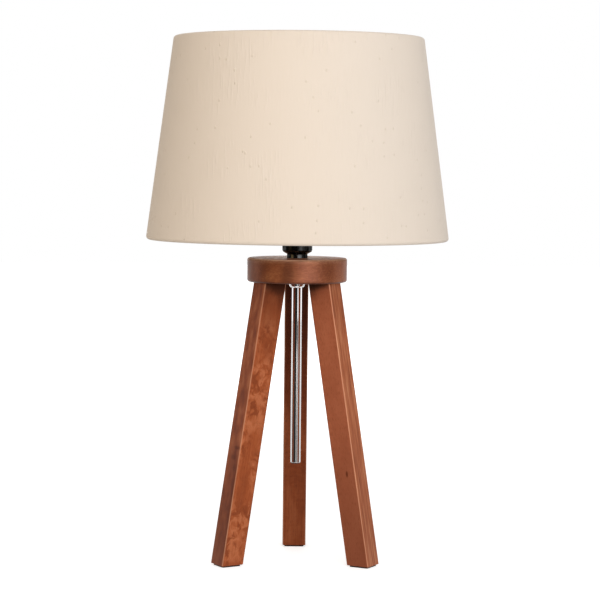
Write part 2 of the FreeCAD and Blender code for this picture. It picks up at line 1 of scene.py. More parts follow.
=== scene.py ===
# Dresses the tripod table lamp: stained timber stand, chrome cable tube, bayonet lampholder, bulb and cloth shade.

import json
import logging
import math
from dataclasses import dataclass, field
from enum import Enum
from typing import Any, Sequence

import bmesh
import bpy
from mathutils import Matrix, Vector


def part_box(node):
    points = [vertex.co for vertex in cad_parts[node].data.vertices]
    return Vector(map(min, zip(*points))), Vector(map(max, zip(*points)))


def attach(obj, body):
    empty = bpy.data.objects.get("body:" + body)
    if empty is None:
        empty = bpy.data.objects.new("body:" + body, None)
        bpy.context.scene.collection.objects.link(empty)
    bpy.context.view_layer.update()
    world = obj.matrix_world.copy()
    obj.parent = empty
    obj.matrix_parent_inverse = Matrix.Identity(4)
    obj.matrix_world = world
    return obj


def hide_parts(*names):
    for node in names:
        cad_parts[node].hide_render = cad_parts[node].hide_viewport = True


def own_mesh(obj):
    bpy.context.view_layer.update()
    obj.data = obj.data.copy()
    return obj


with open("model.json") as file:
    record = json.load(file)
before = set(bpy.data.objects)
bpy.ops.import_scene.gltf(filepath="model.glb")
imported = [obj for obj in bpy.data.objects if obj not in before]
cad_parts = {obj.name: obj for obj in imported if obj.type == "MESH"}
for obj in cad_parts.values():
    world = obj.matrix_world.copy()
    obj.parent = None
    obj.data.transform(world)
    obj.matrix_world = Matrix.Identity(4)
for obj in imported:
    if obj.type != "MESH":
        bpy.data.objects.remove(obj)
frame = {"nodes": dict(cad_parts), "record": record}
bpy.context.view_layer.update()

LOG = logging.getLogger("lamp")
MM = 0.001
FULL_TURN = 2 * math.pi
UP = Vector((0, 0, 1))
# Points that lie within this of each other count as level.
SLACK = 0.01 * MM

Mesh = bmesh.types.BMesh
Piece = bpy.types.Object
Tree = bpy.types.NodeTree
Node = bpy.types.Node
Source = Node | bpy.types.NodeSocket
Sizes = tuple[float, float, float]
Colour = tuple[float, float, float, float]


class Body(Enum):
    """The bodies that the remade pieces ride on."""

    BASE = "base"
    SHADE = "shade"


class Form(Enum):
    """How a timber piece was shaped, which says where its edges are."""

    SQUARE = "square"
    TURNED = "turned"


class Slot(Enum):
    """The record's material slots."""

    TIMBER = "stained_wood"
    BEECH = "beech"
    FELT = "felt"
    ZINC = "zinc_steel"
    BRASS = "brass"
    CHROME = "chrome_plate"
    NYLON = "black_nylon"
    PHENOLIC = "black_phenolic"
    BARREL = "barrel_aluminium"
    STEATITE = "steatite"
    SPRING = "spring_steel"
    NICKEL = "bulb_nickel"
    SOLDER = "solder"
    HOUSING = "white_plastic"
    OPAL = "opal_plastic"
    CLOTH = "shade_cloth"
    LINER = "liner_sheet"
    WIRE = "white_wire"


# ---------------------------------------------------------------------------------------------------------------
# Finishes
# ---------------------------------------------------------------------------------------------------------------

def linear(hex_code: str) -> Colour:
    """Turn an sRGB hex colour into linear RGBA.

    Args:
        hex_code: The colour as "#RRGGBB".

    Returns:
        Red, green, blue and a full alpha.
    """
    channels = [int(hex_code[start:start + 2], 16) / 255 for start in (1, 3, 5)]
    red, green, blue = (c / 12.92 if c <= 0.04045 else ((c + 0.055) / 1.055) ** 2.4 for c in channels)
    return red, green, blue, 1.0


def add(tree: Tree, kind: str, inputs: dict[str | int, Any] | None = None, **settings: Any) -> Node:
    """Add a shader node with its links and settings.

    Args:
        tree: The node tree that gets the node.
        kind: The node's type, without the ShaderNode in front.
        inputs: Socket name or number to a value, an output socket, or a node, whose first live output it takes.
        settings: Values of the node's own settings; "stops" holds a colour ramp's (position, colour) pairs.

    Returns:
        The new node.
    """
    node = tree.nodes.new("ShaderNode" + kind)
    for name, value in settings.items():
        if name == "stops":
            elements = node.color_ramp.elements
            while len(elements) < len(value):
                elements.new(1.0)
            for element, (position, colour) in zip(elements, value):
                element.position = position
                element.color = colour
        else:
            setattr(node, name, value)
    for name, value in (inputs or {}).items():
        if isinstance(value, Node):
            value = next(socket for socket in value.outputs if socket.enabled)
        if isinstance(value, bpy.types.NodeSocket):
            tree.links.new(value, node.inputs[name])
        else:
            node.inputs[name].default_value = value
    return node


def empty_tree(owner: bpy.types.Material | bpy.types.World) -> Tree:
    """Give a material or a world a node tree with nothing in it.

    Args:
        owner: The material or the world.

    Returns:
        Its node tree.
    """
    owner.use_nodes = True
    owner.node_tree.nodes.clear()
    return owner.node_tree


def seen_directly(tree: Tree) -> Node:
    """Tell apart the rays that show a surface from those that light the lamp.

    Args:
        tree: The node tree that asks.

    Returns:
        A node that gives 1 for camera, glossy and transmission rays, and 0 for the others.
    """
    path = add(tree, "LightPath").outputs
    first = add(tree, "Math", {0: path["Is Camera Ray"], 1: path["Is Glossy Ray"]}, operation="MAXIMUM")
    return add(tree, "Math", {0: first, 1: path["Is Transmission Ray"]}, operation="MAXIMUM")


def stretch(*sizes_mm: float) -> Sizes:
    """The scale that makes a noise's features these sizes in millimetres, along each direction."""
    across, along, up = (1 / (size * MM) for size in sizes_mm)
    return across, along, up


@dataclass(frozen=True)
class Finish:
    """A surface finish, made once as a material and shared by the pieces that have it."""

    name: str

    def material(self) -> bpy.types.Material:
        """Get the finish's material, and build it the first time.

        Returns:
            The material.
        """
        found = bpy.data.materials.get(self.name)
        if not found:
            found = bpy.data.materials.new(self.name)
            tree = empty_tree(found)
            add(tree, "OutputMaterial", {"Surface": self.shader(tree)})
        return found

    def shader(self, tree: Tree) -> Node:
        """Build the finish's nodes.

        Args:
            tree: The material's node tree.

        Returns:
            The shader node that the material ends in.
        """
        raise NotImplementedError


@dataclass(frozen=True)
class Mark:
    """A dark mark on a board in a colour of its own: knots and stain marks, and also painted shade and shadows."""

    colour: str

    def share(self, tree: Tree, grain: Source, noise: Source) -> Node:
        """Work out how much of the mark shows.

        Args:
            tree: The material's node tree.
            grain: The place on the board.
            noise: What makes a mark's edge ragged.

        Returns:
            A node that gives the share, from 0 to the mark's depth.
        """
        raise NotImplementedError

    def over(self, tree: Tree, colour: Source, grain: Source, noise: Source) -> Node:
        """Lay the mark over a colour.

        Args:
            tree: The material's node tree.
            colour: The colour so far.
            grain: The place on the board.
            noise: What makes a mark's edge ragged.

        Returns:
            A node that gives the colour with the mark on it.
        """
        share = self.share(tree, grain, noise)
        return add(tree, "Mix", {0: share, 6: colour, 7: linear(self.colour)}, data_type="RGBA")


@dataclass(frozen=True)
class DarkPlace(Mark):
    """A dark spot, for knots and painted shadows: where it is, how far it reaches across and along the fibres, its
    depth.
    """

    place_mm: Sizes
    across_mm: float
    along_mm: float
    depth: float

    def share(self, tree: Tree, grain: Source, noise: Source) -> Node:
        """Let the spot show in full in its middle and fade to its ragged edge.

        Args:
            tree: The material's node tree.
            grain: The place on the board.
            noise: What makes the edge ragged.

        Returns:
            A node that gives the share.
        """
        moved = add(tree, "VectorMath", {0: grain, 1: [value * MM for value in self.place_mm]},
                    operation="SUBTRACT")
        squeezed = add(tree, "VectorMath", {0: moved, 1: stretch(self.across_mm, self.across_mm, self.along_mm)},
                       operation="MULTIPLY")
        away = add(tree, "VectorMath", {0: squeezed}, operation="LENGTH")
        ragged = add(tree, "Math", {0: noise, 1: 0.5, 2: away}, operation="MULTIPLY_ADD")
        return add(tree, "MapRange", {"Value": ragged, "From Min": 0.5, "From Max": 1.25, "To Min": self.depth,
                                      "To Max": 0.0}, interpolation_type="SMOOTHSTEP")


@dataclass(frozen=True)
class Deepening(Mark):
    """A tone that deepens along the board towards one end: where it starts and is full, its depth.

    Most are painted shade, under the hub, towards the feet and on the hub's side away from the light.
    """

    start_mm: float
    full_mm: float
    depth: float

    def share(self, tree: Tree, grain: Source, noise: Source) -> Node:
        """Let the tone deepen from its start to where it is full.

        Args:
            tree: The material's node tree.
            grain: The place on the board.
            noise: Not used, because it has no edge.

        Returns:
            A node that gives the share.
        """
        height = add(tree, "SeparateXYZ", {"Vector": grain}).outputs["Z"]
        return add(tree, "MapRange", {"Value": height, "From Min": self.start_mm * MM,
                                      "From Max": self.full_mm * MM, "To Max": self.depth},
                   interpolation_type="SMOOTHSTEP")


@dataclass(frozen=True)
class StainedTimber(Finish):
    """Rubberwood, planed and sanded, stained reddish brown and lacquered to a satin.

    The stain sinks unevenly, so it lies in soft blotches. Ripples cross the fibres in patches, short open pores
    take the stain darkest, and the eased edges are paler where the stain has thinned, with a painted highlight. Some
    marks are painted shade and painted shadows. It reads the "grain" attribute, whose third direction runs along the
    fibres, "sideways", which is 1 on the faces across the board and on a turned piece's underside, where it carries
    painted light and shade, and "worn", which marks the pale edges.
    """

    body: str
    deep: str
    pale: str
    pore: str = "#5C2A14"
    # The pale eased edges: the stain has thinned there, and a painted highlight lies on them.
    edge: str = "#D2997A"
    blotch_mm: Sizes = (18.0, 18.0, 42.0)
    blotch_spread: float = 0.16
    blotch_strength: float = 1.0
    fibre_mm: Sizes = (1.7, 1.7, 60.0)
    fibre_strength: float = 0.3
    ripple_mm: Sizes = (11.0, 11.0, 5.0)
    ripple_patch_mm: Sizes = (30.0, 30.0, 50.0)
    ripple_strength: float = 0.2
    # Real pores are 0.2 mm wide; these are drawn at more than twice that, so that they show.
    pore_mm: Sizes = (0.5, 0.5, 5.0)
    pore_strength: float = 0.4
    pore_relief_mm: float = 0.08
    # How pale the eased edges get, with their painted highlight.
    edge_wear_and_highlight: float = 0.75
    roughness: tuple[float, float] = (0.4, 0.52)
    specular: float = 0.14
    # The fibres lie just under the lacquer and throw light back in their own colour.
    fibre_gleam: float = 0.25
    # The faces across a square board take a tone of their own, which on the front legs holds painted light and
    # shade; a turned piece's underside takes these colours as painted shade.
    side: str = "#8E4B2E"
    side_deep: str = "#6E3A26"
    side_pale: str = "#A86A4C"
    side_mm: Sizes = (7.0, 7.0, 18.0)
    side_spread: float = 0.15
    side_share: float = 0.0
    marks: tuple[Mark, ...] = ()
    side_marks: tuple[Mark, ...] = ()

    def make_noises(self, tree: Tree, grain: Source) -> dict[str, Node]:
        """Make the noises that vary the timber, each at its own size.

        Args:
            tree: The material's node tree.
            grain: The place on the board.

        Returns:
            The noises by name.
        """
        noises = {}
        for key, sizes, detail, distortion in (
                ("blotch", self.blotch_mm, 2.0, 0.0), ("fibre", self.fibre_mm, 3.0, 0.0),
                ("ripple", self.ripple_mm, 2.5, 0.7), ("patch", self.ripple_patch_mm, 1.0, 0.0),
                ("side", self.side_mm, 2.5, 0.0), ("pore", self.pore_mm, 1.0, 0.0)):
            scaled = add(tree, "Mapping", {"Vector": grain, "Scale": stretch(*sizes)})
            noises[key] = add(tree, "TexNoise", {"Vector": scaled, "Scale": 1.0, "Detail": detail,
                                                 "Roughness": 0.55, "Distortion": distortion})
        return noises

    def shader(self, tree: Tree) -> Node:
        """Lay fibres, ripples, pores and marks over the blotched stain, then pale its edges; some marks, the side
        tone and the pale edges hold painted light and shade.

        Args:
            tree: The material's node tree.

        Returns:
            The shader node that the material ends in.
        """
        grain = add(tree, "Attribute", attribute_name="grain").outputs["Vector"]
        sideways, worn = (add(tree, "Attribute", attribute_name=name).outputs["Fac"]
                          for name in ("sideways", "worn"))
        noises = self.make_noises(tree, grain)
        ramped_tones = []
        for key, spread, tones in (
                ("blotch", self.blotch_spread / self.blotch_strength, (self.deep, self.body, self.pale)),
                ("side", self.side_spread, (self.side_deep, self.side, self.side_pale))):
            stops = list(zip((0.5 - spread, 0.5, 0.5 + spread), map(linear, tones)))
            ramped_tones.append(add(tree, "ValToRGB", {"Fac": noises[key]}, stops=stops))
        colour, across = ramped_tones
        patch = add(tree, "MapRange", {"Value": noises["patch"], "From Min": 0.36, "From Max": 0.5})
        pores = add(tree, "MapRange", {"Value": noises["pore"], "From Min": 0.58, "From Max": 0.68,
                                       "To Max": self.pore_strength})
        # Each layer's noise, where in the noise it starts and is full, its strength and its colour.
        for key, start, full, strength, tint in (
                ("fibre", 0.62, 0.4, self.fibre_strength, self.deep),
                ("fibre", 0.5, 0.7, self.fibre_strength, self.pale),
                ("ripple", 0.5, 0.6, self.ripple_strength, self.pale),
                ("ripple", 0.47, 0.38, self.ripple_strength, self.deep)):
            share = add(tree, "MapRange", {"Value": noises[key], "From Min": start, "From Max": full,
                                           "To Max": strength})
            if key == "ripple":
                share = add(tree, "Math", {0: share, 1: patch}, operation="MULTIPLY")
            colour = add(tree, "Mix", {0: share, 6: colour, 7: linear(tint)}, data_type="RGBA")
        colour = add(tree, "Mix", {0: pores, 6: colour, 7: linear(self.pore)}, data_type="RGBA")
        for mark in self.marks:
            colour = mark.over(tree, colour, grain, noises["pore"])
        for mark in self.side_marks:
            across = mark.over(tree, across, grain, noises["pore"])
        # The side tone, with its painted light and shade, goes on the side faces and on a turned piece's underside.
        share = add(tree, "Math", {0: sideways, 1: self.side_share}, operation="MULTIPLY")
        colour = add(tree, "Mix", {0: share, 6: colour, 7: across}, data_type="RGBA")
        # The eased edges turn pale, with a painted highlight on them.
        uneven = add(tree, "MapRange", {"Value": noises["fibre"], "From Min": 0.3, "From Max": 0.7,
                                        "To Min": 0.45 * self.edge_wear_and_highlight, "To Max": self.edge_wear_and_highlight})
        edge_wear_and_highlight_share = add(tree, "Math", {0: worn, 1: uneven}, operation="MULTIPLY")
        colour = add(tree, "Mix", {0: edge_wear_and_highlight_share, 6: colour, 7: linear(self.edge)}, data_type="RGBA")
        low, high = self.roughness
        gloss = add(tree, "MapRange", {"Value": noises["fibre"], "To Min": low, "To Max": high})
        bump = add(tree, "Bump", {"Height": pores, "Strength": 0.3, "Distance": self.pore_relief_mm * MM},
                   invert=True)
        return add(tree, "BsdfPrincipled", {"Base Color": colour, "Roughness": gloss, "Normal": bump,
                                            "Specular IOR Level": self.specular, "Metallic": self.fibre_gleam})


@dataclass(frozen=True)
class SlubCloth(Finish):
    """Plain-woven linen and cotton, beige, laminated flat: matt, with slubs along the warp and small nubs.

    It reads the UV map, which is the flat cut of the cloth in metres, so that its threads run straight. The slubs
    stand out in patches, and a shift moves the patches over the cloth.
    """

    name: str = "slub_linen"
    body: str = "#E2D4C5"
    slub: str = "#E3D5C6"
    shadow: str = "#E1D3C3"
    nub: str = "#D6C6B2"
    # Threads lie 0.5 mm apart; the weave is drawn at twice that, so that it shows.
    thread_mm: float = 1.0
    slub_mm: tuple[float, float] = (2.0, 24.0)
    slub_patch_mm: tuple[float, float] = (60.0, 45.0)
    slub_patch_shift: float = 7.7
    weft_mm: tuple[float, float] = (24.0, 1.2)
    nub_mm: tuple[float, float] = (9.0, 13.0)
    nub_share: float = 0.22
    # The heights below are in shares of the relief.
    relief_mm: float = 0.075
    weave_height: float = 0.4
    slub_heights: tuple[float, float] = (0.2, 2.4)
    nub_height: float = 9.0
    roughness: float = 0.92
    sheen: float = 0.12

    def shader(self, tree: Tree) -> Node:
        """Lay slubs, weft and nubs over the ground colour, and raise them with the weave.

        Args:
            tree: The material's node tree.

        Returns:
            The shader node that the material ends in.
        """
        place = add(tree, "UVMap")
        noises = {}
        for key, sizes, detail, shift in (("slub", self.slub_mm, 2.0, 0.0), ("weft", self.weft_mm, 1.0, 0.0),
                                          ("patch", self.slub_patch_mm, 1.0, self.slub_patch_shift)):
            scaled = add(tree, "Mapping", {"Vector": place, "Scale": stretch(*sizes, 1.0),
                                           "Location": (shift, shift, 0.0)})
            noises[key] = add(tree, "TexNoise", {"Vector": scaled, "Scale": 1.0, "Detail": detail},
                              noise_dimensions="2D")
        slubs = add(tree, "ValToRGB", {"Fac": noises["slub"]},
                    stops=[(0.2, linear(self.shadow)), (0.42, linear(self.body)), (0.58, linear(self.body)),
                           (0.8, linear(self.slub))])
        weft = add(tree, "MapRange", {"Value": noises["weft"], "From Min": 0.5, "From Max": 0.85, "To Max": 0.2})
        colour = add(tree, "Mix", {0: weft, 6: slubs, 7: linear(self.shadow)}, data_type="RGBA")
        spread = add(tree, "Mapping", {"Vector": place, "Scale": stretch(*self.nub_mm, 1.0)})
        nubs = add(tree, "TexVoronoi", {"Vector": spread, "Scale": 1.0}, voronoi_dimensions="2D").outputs
        dots = add(tree, "MapRange", {"Value": nubs["Distance"], "From Min": 0.03, "From Max": 0.14, "To Min": 0.5,
                                      "To Max": 0.0}, interpolation_type="SMOOTHSTEP")
        chosen = add(tree, "Math", {0: nubs["Color"], 1: 1 - self.nub_share}, operation="GREATER_THAN")
        few = add(tree, "Math", {0: dots, 1: chosen}, operation="MULTIPLY")
        colour = add(tree, "Mix", {0: few, 6: colour, 7: linear(self.nub)}, data_type="RGBA")
        # At a scale of 1 the wave texture has 20 waves in a full turn of length.
        waves = FULL_TURN / (20 * self.thread_mm * MM)
        warp_threads, weft_threads = (
            add(tree, "TexWave", {"Vector": place, "Scale": waves, "Distortion": 0.6, "Detail": 1.0},
                wave_type="BANDS", bands_direction=direction).outputs["Fac"] for direction in ("X", "Y"))
        weave = add(tree, "Math", {0: warp_threads, 1: weft_threads}, operation="MULTIPLY")
        flat = add(tree, "Math", {0: weave, 1: self.weave_height}, operation="MULTIPLY")
        low, high = self.slub_heights
        patch = add(tree, "MapRange", {"Value": noises["patch"], "From Min": 0.44, "From Max": 0.62, "To Min": low,
                                       "To Max": high})
        thick = add(tree, "MapRange", {"Value": noises["slub"], "From Min": 0.5, "From Max": 0.74,
                                       "To Max": patch}, interpolation_type="SMOOTHSTEP")
        lumps = add(tree, "Math", {0: flat, 1: thick}, operation="ADD")
        raised = add(tree, "Math", {0: few, 1: self.nub_height, 2: lumps}, operation="MULTIPLY_ADD")
        bump = add(tree, "Bump", {"Height": raised, "Strength": 1.0, "Distance": self.relief_mm * MM})
        return add(tree, "BsdfPrincipled", {"Base Color": colour, "Roughness": self.roughness, "Normal": bump,
                                            "Sheen Weight": self.sheen, "Sheen Roughness": 0.5})


@dataclass(frozen=True)
class Worked(Finish):
    """A surface of one colour, with the fine marks of its making in its colour, roughness and height."""

    colour: str
    marked: str
    roughness: tuple[float, float]
    mark_mm: Sizes
    bump: float
    mark_detail: float
    relief_mm: float

    def nature(self) -> dict[str, float]:
        """The constants that set this kind of material apart."""
        raise NotImplementedError

    def shader(self, tree: Tree) -> Node:
        """Mark the surface's colour, roughness and height.

        Args:
            tree: The material's node tree.

        Returns:
            The shader node that the material ends in.
        """
        place = add(tree, "TexCoord").outputs["Object"]
        scaled = add(tree, "Mapping", {"Vector": place, "Scale": stretch(*self.mark_mm)})
        marks = add(tree, "TexNoise", {"Vector": scaled, "Scale": 1.0, "Detail": self.mark_detail})
        colour = add(tree, "Mix", {0: marks, 6: linear(self.colour), 7: linear(self.marked)}, data_type="RGBA")
        low, high = self.roughness
        gloss = add(tree, "MapRange", {"Value": marks, "To Min": low, "To Max": high})
        bump = add(tree, "Bump", {"Height": marks, "Strength": self.bump, "Distance": self.relief_mm * MM})
        return add(tree, "BsdfPrincipled", {"Base Color": colour, "Roughness": gloss, "Normal": bump,
                                            **self.nature()})


@dataclass(frozen=True)
class Metal(Worked):
    """A bare or plated metal, with polish or drawing marks along one direction."""

    mark_mm: Sizes = (0.6, 0.6, 8.0)
    bump: float = 0.05
    mark_detail: float = 3.0
    relief_mm: float = 0.02

    def nature(self) -> dict[str, float]:
        """Metal all through."""
        return {"Metallic": 1.0}


@dataclass(frozen=True)
class Moulding(Worked):
    """A moulded, pressed, turned or coated surface that isn't metal, with a faint even mottle."""

    mark_mm: Sizes = (0.8, 0.8, 0.8)
    bump: float = 0.1
    mark_detail: float = 2.0
    relief_mm: float = 0.05
    specular: float = 0.5
    sheen: float = 0.0

    def nature(self) -> dict[str, float]:
        """How it shines."""
        return {"Specular IOR Level": self.specular, "Sheen Weight": self.sheen}


FINISHES: dict[Slot, Finish] = {
    # The hub is stained darker than the legs. Its top rim is paler, where the stain has thinned and with a painted
    # highlight; its underside and bottom edge take painted shade, and its left side darkens as painted shade.
    Slot.TIMBER: StainedTimber("stained_hub", "#A65C36", "#904B2A", "#B66C43", "#4A2412", "#E0B494",
                               fibre_mm=(1.2, 1.2, 40.0), fibre_strength=0.6, roughness=(0.34, 0.46),
                               # The side colours are painted shade on the hub's underside.
                               specular=0.6, fibre_gleam=0.38, side="#4E281A", side_deep="#402014",
                               side_pale="#5C3020", side_share=0.8,
                               marks=(DarkPlace("#4A2212", (290.0, -49.0, 3010.0), 14.0, 9.0, 0.35),
                                      # Painted shade, darker towards the hub's left side, away from the key light.
                                      Deepening("#4A2412", 3000.0, 3055.0, 0.5))),
    Slot.CLOTH: SlubCloth(),
    # Turned beech, dry and pale.
    Slot.BEECH: Moulding("turned_beech", "#D8BC8E", "#C6A576", (0.55, 0.7), (1.5, 1.5, 1.5), 0.2),
    # Pressed wool felt, dark brown: matt, with a soft sheen at its rim.
    Slot.FELT: Moulding("pressed_felt", "#3A2C24", "#2A201A", (0.9, 1.0), (0.5, 0.5, 0.5), 0.6, specular=0.2,
                        sheen=0.4),
    # Bright zinc plate on steel: a cool grey shine.
    Slot.ZINC: Metal("zinc_plate", "#B9BCC0", "#A3A7AD", (0.22, 0.38)),
    # Turned brass without lacquer: warm yellow, with a soft gleam.
    Slot.BRASS: Metal("turned_brass", "#C9A35A", "#B38C46", (0.2, 0.34)),
    # Chrome plate over polished steel: a clear mirror with hardly any haze.
    Slot.CHROME: Metal("polished_chrome", "#F0EEEE", "#E6E4E4", (0.02, 0.05), (3.0, 3.0, 40.0), 0.0),
    # Moulded nylon: black and nearly matt.
    Slot.NYLON: Moulding("moulded_nylon", "#141414", "#0E0E0E", (0.42, 0.55)),
    # Phenolic plastic, pressed in a polished mould: deep black and glossy.
    Slot.PHENOLIC: Moulding("pressed_phenolic", "#0B0B0C", "#080808", (0.1, 0.16), (2.5, 2.5, 2.5), 0.04),
    # Pressed aluminium, left bright: pale, with a broad soft highlight.
    Slot.BARREL: Metal("pressed_aluminium", "#CDCED1", "#B9BABE", (0.25, 0.4)),
    # Steatite, a dense ceramic, unglazed: off-white and dry, with a fine grain.
    Slot.STEATITE: Moulding("unglazed_steatite", "#DDD8CE", "#CFC9BC", (0.7, 0.82), (0.4, 0.4, 0.4), 0.2),
    # Drawn spring steel: dark grey, with a dull shine.
    Slot.SPRING: Metal("drawn_spring_steel", "#8C8D92", "#77797F", (0.25, 0.4)),
    # Nickel plate on a pressed shell: a faintly warm grey, softly shiny.
    Slot.NICKEL: Metal("nickel_plate", "#BDBAB2", "#A9A69E", (0.2, 0.36)),
    # Solder, melted on: a dull, slightly uneven grey.
    Slot.SOLDER: Metal("tinned_solder", "#AEB0B4", "#96989D", (0.35, 0.55), (1.0, 1.0, 1.0)),
    # Moulded plastic with a satin skin: an even white.
    Slot.HOUSING: Moulding("satin_white_plastic", "#ECECEA", "#E4E4E1", (0.35, 0.45), (0.5, 0.5, 0.5), 0.06),
    # Opal polycarbonate, blown and satin: white right through.
    Slot.OPAL: Moulding("opal_polycarbonate", "#F4F3EF", "#EFEEEA", (0.28, 0.36), (6.0, 6.0, 6.0), 0.02),
    # Styrene sheet, the stiff lining that the cloth is glued to.
    Slot.LINER: Moulding("styrene_liner", "#EFEBE2", "#E6E1D6", (0.45, 0.6), (1.2, 1.2, 1.2), 0.12),
    # Powder coat on steel wire: off-white, with a fine ripple.
    Slot.WIRE: Moulding("white_powder_coat", "#E9E7E1", "#DEDBD4", (0.35, 0.5), (0.5, 0.5, 0.5), 0.25),
}


# ---------------------------------------------------------------------------------------------------------------
# Mesh tools
# ---------------------------------------------------------------------------------------------------------------

@dataclass(frozen=True)
class Corner:
    """A corner of a turned outline: its radius and height, and how far along its edges the rounding reaches."""

    radius: float
    height: float
    reach: float = 0.0
    segments: int = 4


def round_off(bm: Mesh, items: list[Any], reach: float, segments: int, what: str = "EDGES") -> None:
    """Round edges or corners of a mesh.

    Args:
        bm: The mesh.
        items: Its edges or vertices to round.
        reach: How far from them the rounding starts.
        segments: How many facets it has.
        what: "EDGES" or "VERTICES".
    """
    bmesh.ops.bevel(bm, geom=items, offset=reach, offset_type="OFFSET", segments=segments, profile=0.5,
                    affect=what, material=-1)


def spin_round(bm: Mesh, steps: int) -> None:
    """Spin a line once round the lamp's axis into a surface that faces outwards.

    Args:
        bm: The mesh that holds the line.
        steps: How many facets go round.
    """
    bmesh.ops.spin(bm, geom=bm.verts[:] + bm.edges[:], cent=(0, 0, 0), axis=UP, angle=FULL_TURN, steps=steps,
                   use_merge=True)
    bmesh.ops.remove_doubles(bm, verts=bm.verts, dist=SLACK)
    bmesh.ops.recalc_face_normals(bm, faces=bm.faces)


def lathe(corners: Sequence[Corner], steps: int, closed: bool = True) -> Mesh:
    """Turn an outline about the lamp's axis.

    Args:
        corners: The outline's corners in order.
        steps: How many facets go round.
        closed: Whether the last corner joins the first; an open outline starts and ends on the axis.

    Returns:
        The turned mesh.
    """
    bm = bmesh.new()
    verts = [bm.verts.new((corner.radius, 0, corner.height)) for corner in corners]
    ahead = verts[1:] + verts[:1] if closed else verts[1:]
    for ends in zip(verts, ahead):
        bm.edges.new(ends)
    for vert, corner in zip(verts, corners):
        if corner.reach:
            round_off(bm, [vert], corner.reach, corner.segments, "VERTICES")
    spin_round(bm, steps)
    return bm


def put(name: str, data: bpy.types.ID) -> Piece:
    """Put a mesh, a light or a camera in the scene.

    Args:
        name: The object's name.
        data: What it shows.

    Returns:
        The object.
    """
    thing = bpy.data.objects.new(name, data)
    bpy.context.scene.collection.objects.link(thing)
    return thing


def put_mesh(name: str, bm: Mesh, finish: Finish | None = None) -> Piece:
    """Make a mesh an object in the scene.

    Args:
        name: The object's name.
        bm: Its mesh, in place in the lamp; it is freed.
        finish: Its finish, if it shows.

    Returns:
        The object.
    """
    mesh = bpy.data.meshes.new(name)
    bm.to_mesh(mesh)
    bm.free()
    if finish:
        mesh.materials.append(finish.material())
    return put(name, mesh)


def make_piece(name: str, bm: Mesh, body: Body, slot: Slot, node: str, finish: Finish | None = None) -> Piece:
    """Turn a mesh into a dressed piece that rides on a body.

    Args:
        name: The piece's name.
        bm: Its mesh, in place in the lamp; it is freed.
        body: The body that it rides on.
        slot: The material slot that it takes its finish from.
        node: The CAD node that it replaces.
        finish: A finish of its own, where the slot's isn't used.

    Returns:
        The piece.
    """
    piece = put_mesh(name, bm, finish or FINISHES[slot])
    piece.data.shade_smooth()
    piece.data.set_sharp_from_angle(angle=math.radians(35))
    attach(piece, body.value)
    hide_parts(node)
    LOG.info("%s: %d faces on %s", name, len(piece.data.polygons), body.value)
    return piece


def cut(piece: Piece, cutters: Sequence[Mesh]) -> None:
    """Cut shapes out of a piece's mesh for good.

    Args:
        piece: The piece to cut.
        cutters: Closed meshes; they are freed.
    """
    tools = [put_mesh("cutter", bm) for bm in cutters]
    for tool in tools:
        hole = piece.modifiers.new("hole", "BOOLEAN")
        hole.operation = "DIFFERENCE"
        hole.solver = "EXACT"
        hole.object = tool
    shaped = bpy.data.meshes.new_from_object(piece.evaluated_get(bpy.context.evaluated_depsgraph_get()))
    piece.modifiers.clear()
    whole, piece.data = piece.data, shaped
    shaped.name = piece.name
    # A mesh that is removed takes its object with it.
    for mesh in [whole] + [tool.data for tool in tools]:
        bpy.data.meshes.remove(mesh)


def even_shading(piece: Piece) -> None:
    """Let the large faces set the shading, so that flats look flat beside their rounded edges."""
    modifier = piece.modifiers.new("even_shading", "WEIGHTED_NORMAL")
    modifier.keep_sharp = True


@dataclass(frozen=True)
class WearAndPaintedShading:
    """How a timber piece's edges pale and its faces differ, read from where its surface faces.

    An edge is pale where its surface faces midway between two of the piece's flats: the stain has thinned there,
    and a painted highlight lies on it. A turned piece is pale at its upper edge alone, as a painted highlight that
    fades below it, and its underside takes painted shade.
    """

    pale_edge_from: float = 0.3
    pale_edge_span: float = 0.28
    # The painted highlight on a turned piece's upper rim: its strength, and how far down it fades.
    rim_highlight: float = 0.5
    rim_highlight_depth: float = 4.8 * MM
    # How strongly the side faces take their tone, and a turned piece's underside its painted shade.
    side_gain: float = 1.4
    underside_gain: float = 1.6

    def mark(self, piece: Piece, along: Matrix, form: Form) -> None:
        """Give a timber piece grain coordinates, pale edges with a painted highlight, and side faces or underside
        shade.

        Args:
            piece: The piece.
            along: From the piece's place in the lamp to the board's own directions, the third along the fibres.
            form: How the piece was shaped.
        """
        mesh = piece.data
        for name, kind in (("grain", "FLOAT_VECTOR"), ("worn", "FLOAT"), ("sideways", "FLOAT")):
            mesh.attributes.new(name, kind, "POINT")
        grain, worn, sideways = (mesh.attributes[name].data for name in ("grain", "worn", "sideways"))
        turn = along.to_3x3()
        top = max(vertex.co.z for vertex in mesh.vertices)
        bm = bmesh.new()
        bm.from_mesh(mesh)
        bm.normal_update()
        for vertex, place, edge_wear_and_highlight, side in zip(bm.verts, grain, worn, sideways):
            place.vector = along @ vertex.co
            normal = vertex.normal
            rim_highlight_share = 0.0
            if form is Form.SQUARE:
                # A square board's faces across it take a tone that holds painted light and shade.
                facing = turn @ normal
                side.value = min(1.0, facing.x ** 2 * self.side_gain)
                parts = abs(facing.x), abs(facing.y)
            else:
                # A turned piece's underside takes painted shade, and its upper rim a painted highlight that fades
                # downwards.
                side.value = min(1.0, max(0.0, -normal.z) * self.underside_gain)
                parts = normal.xy.length, max(0.0, normal.z)
                if parts[0] > self.pale_edge_from:
                    rim_highlight_share = self.rim_highlight * max(0.0, 1 - (top - vertex.co.z) / self.rim_highlight_depth)
            edge_wear_and_highlight.value = min(1.0, max(rim_highlight_share, (min(parts) - self.pale_edge_from) / self.pale_edge_span))
        bm.free()


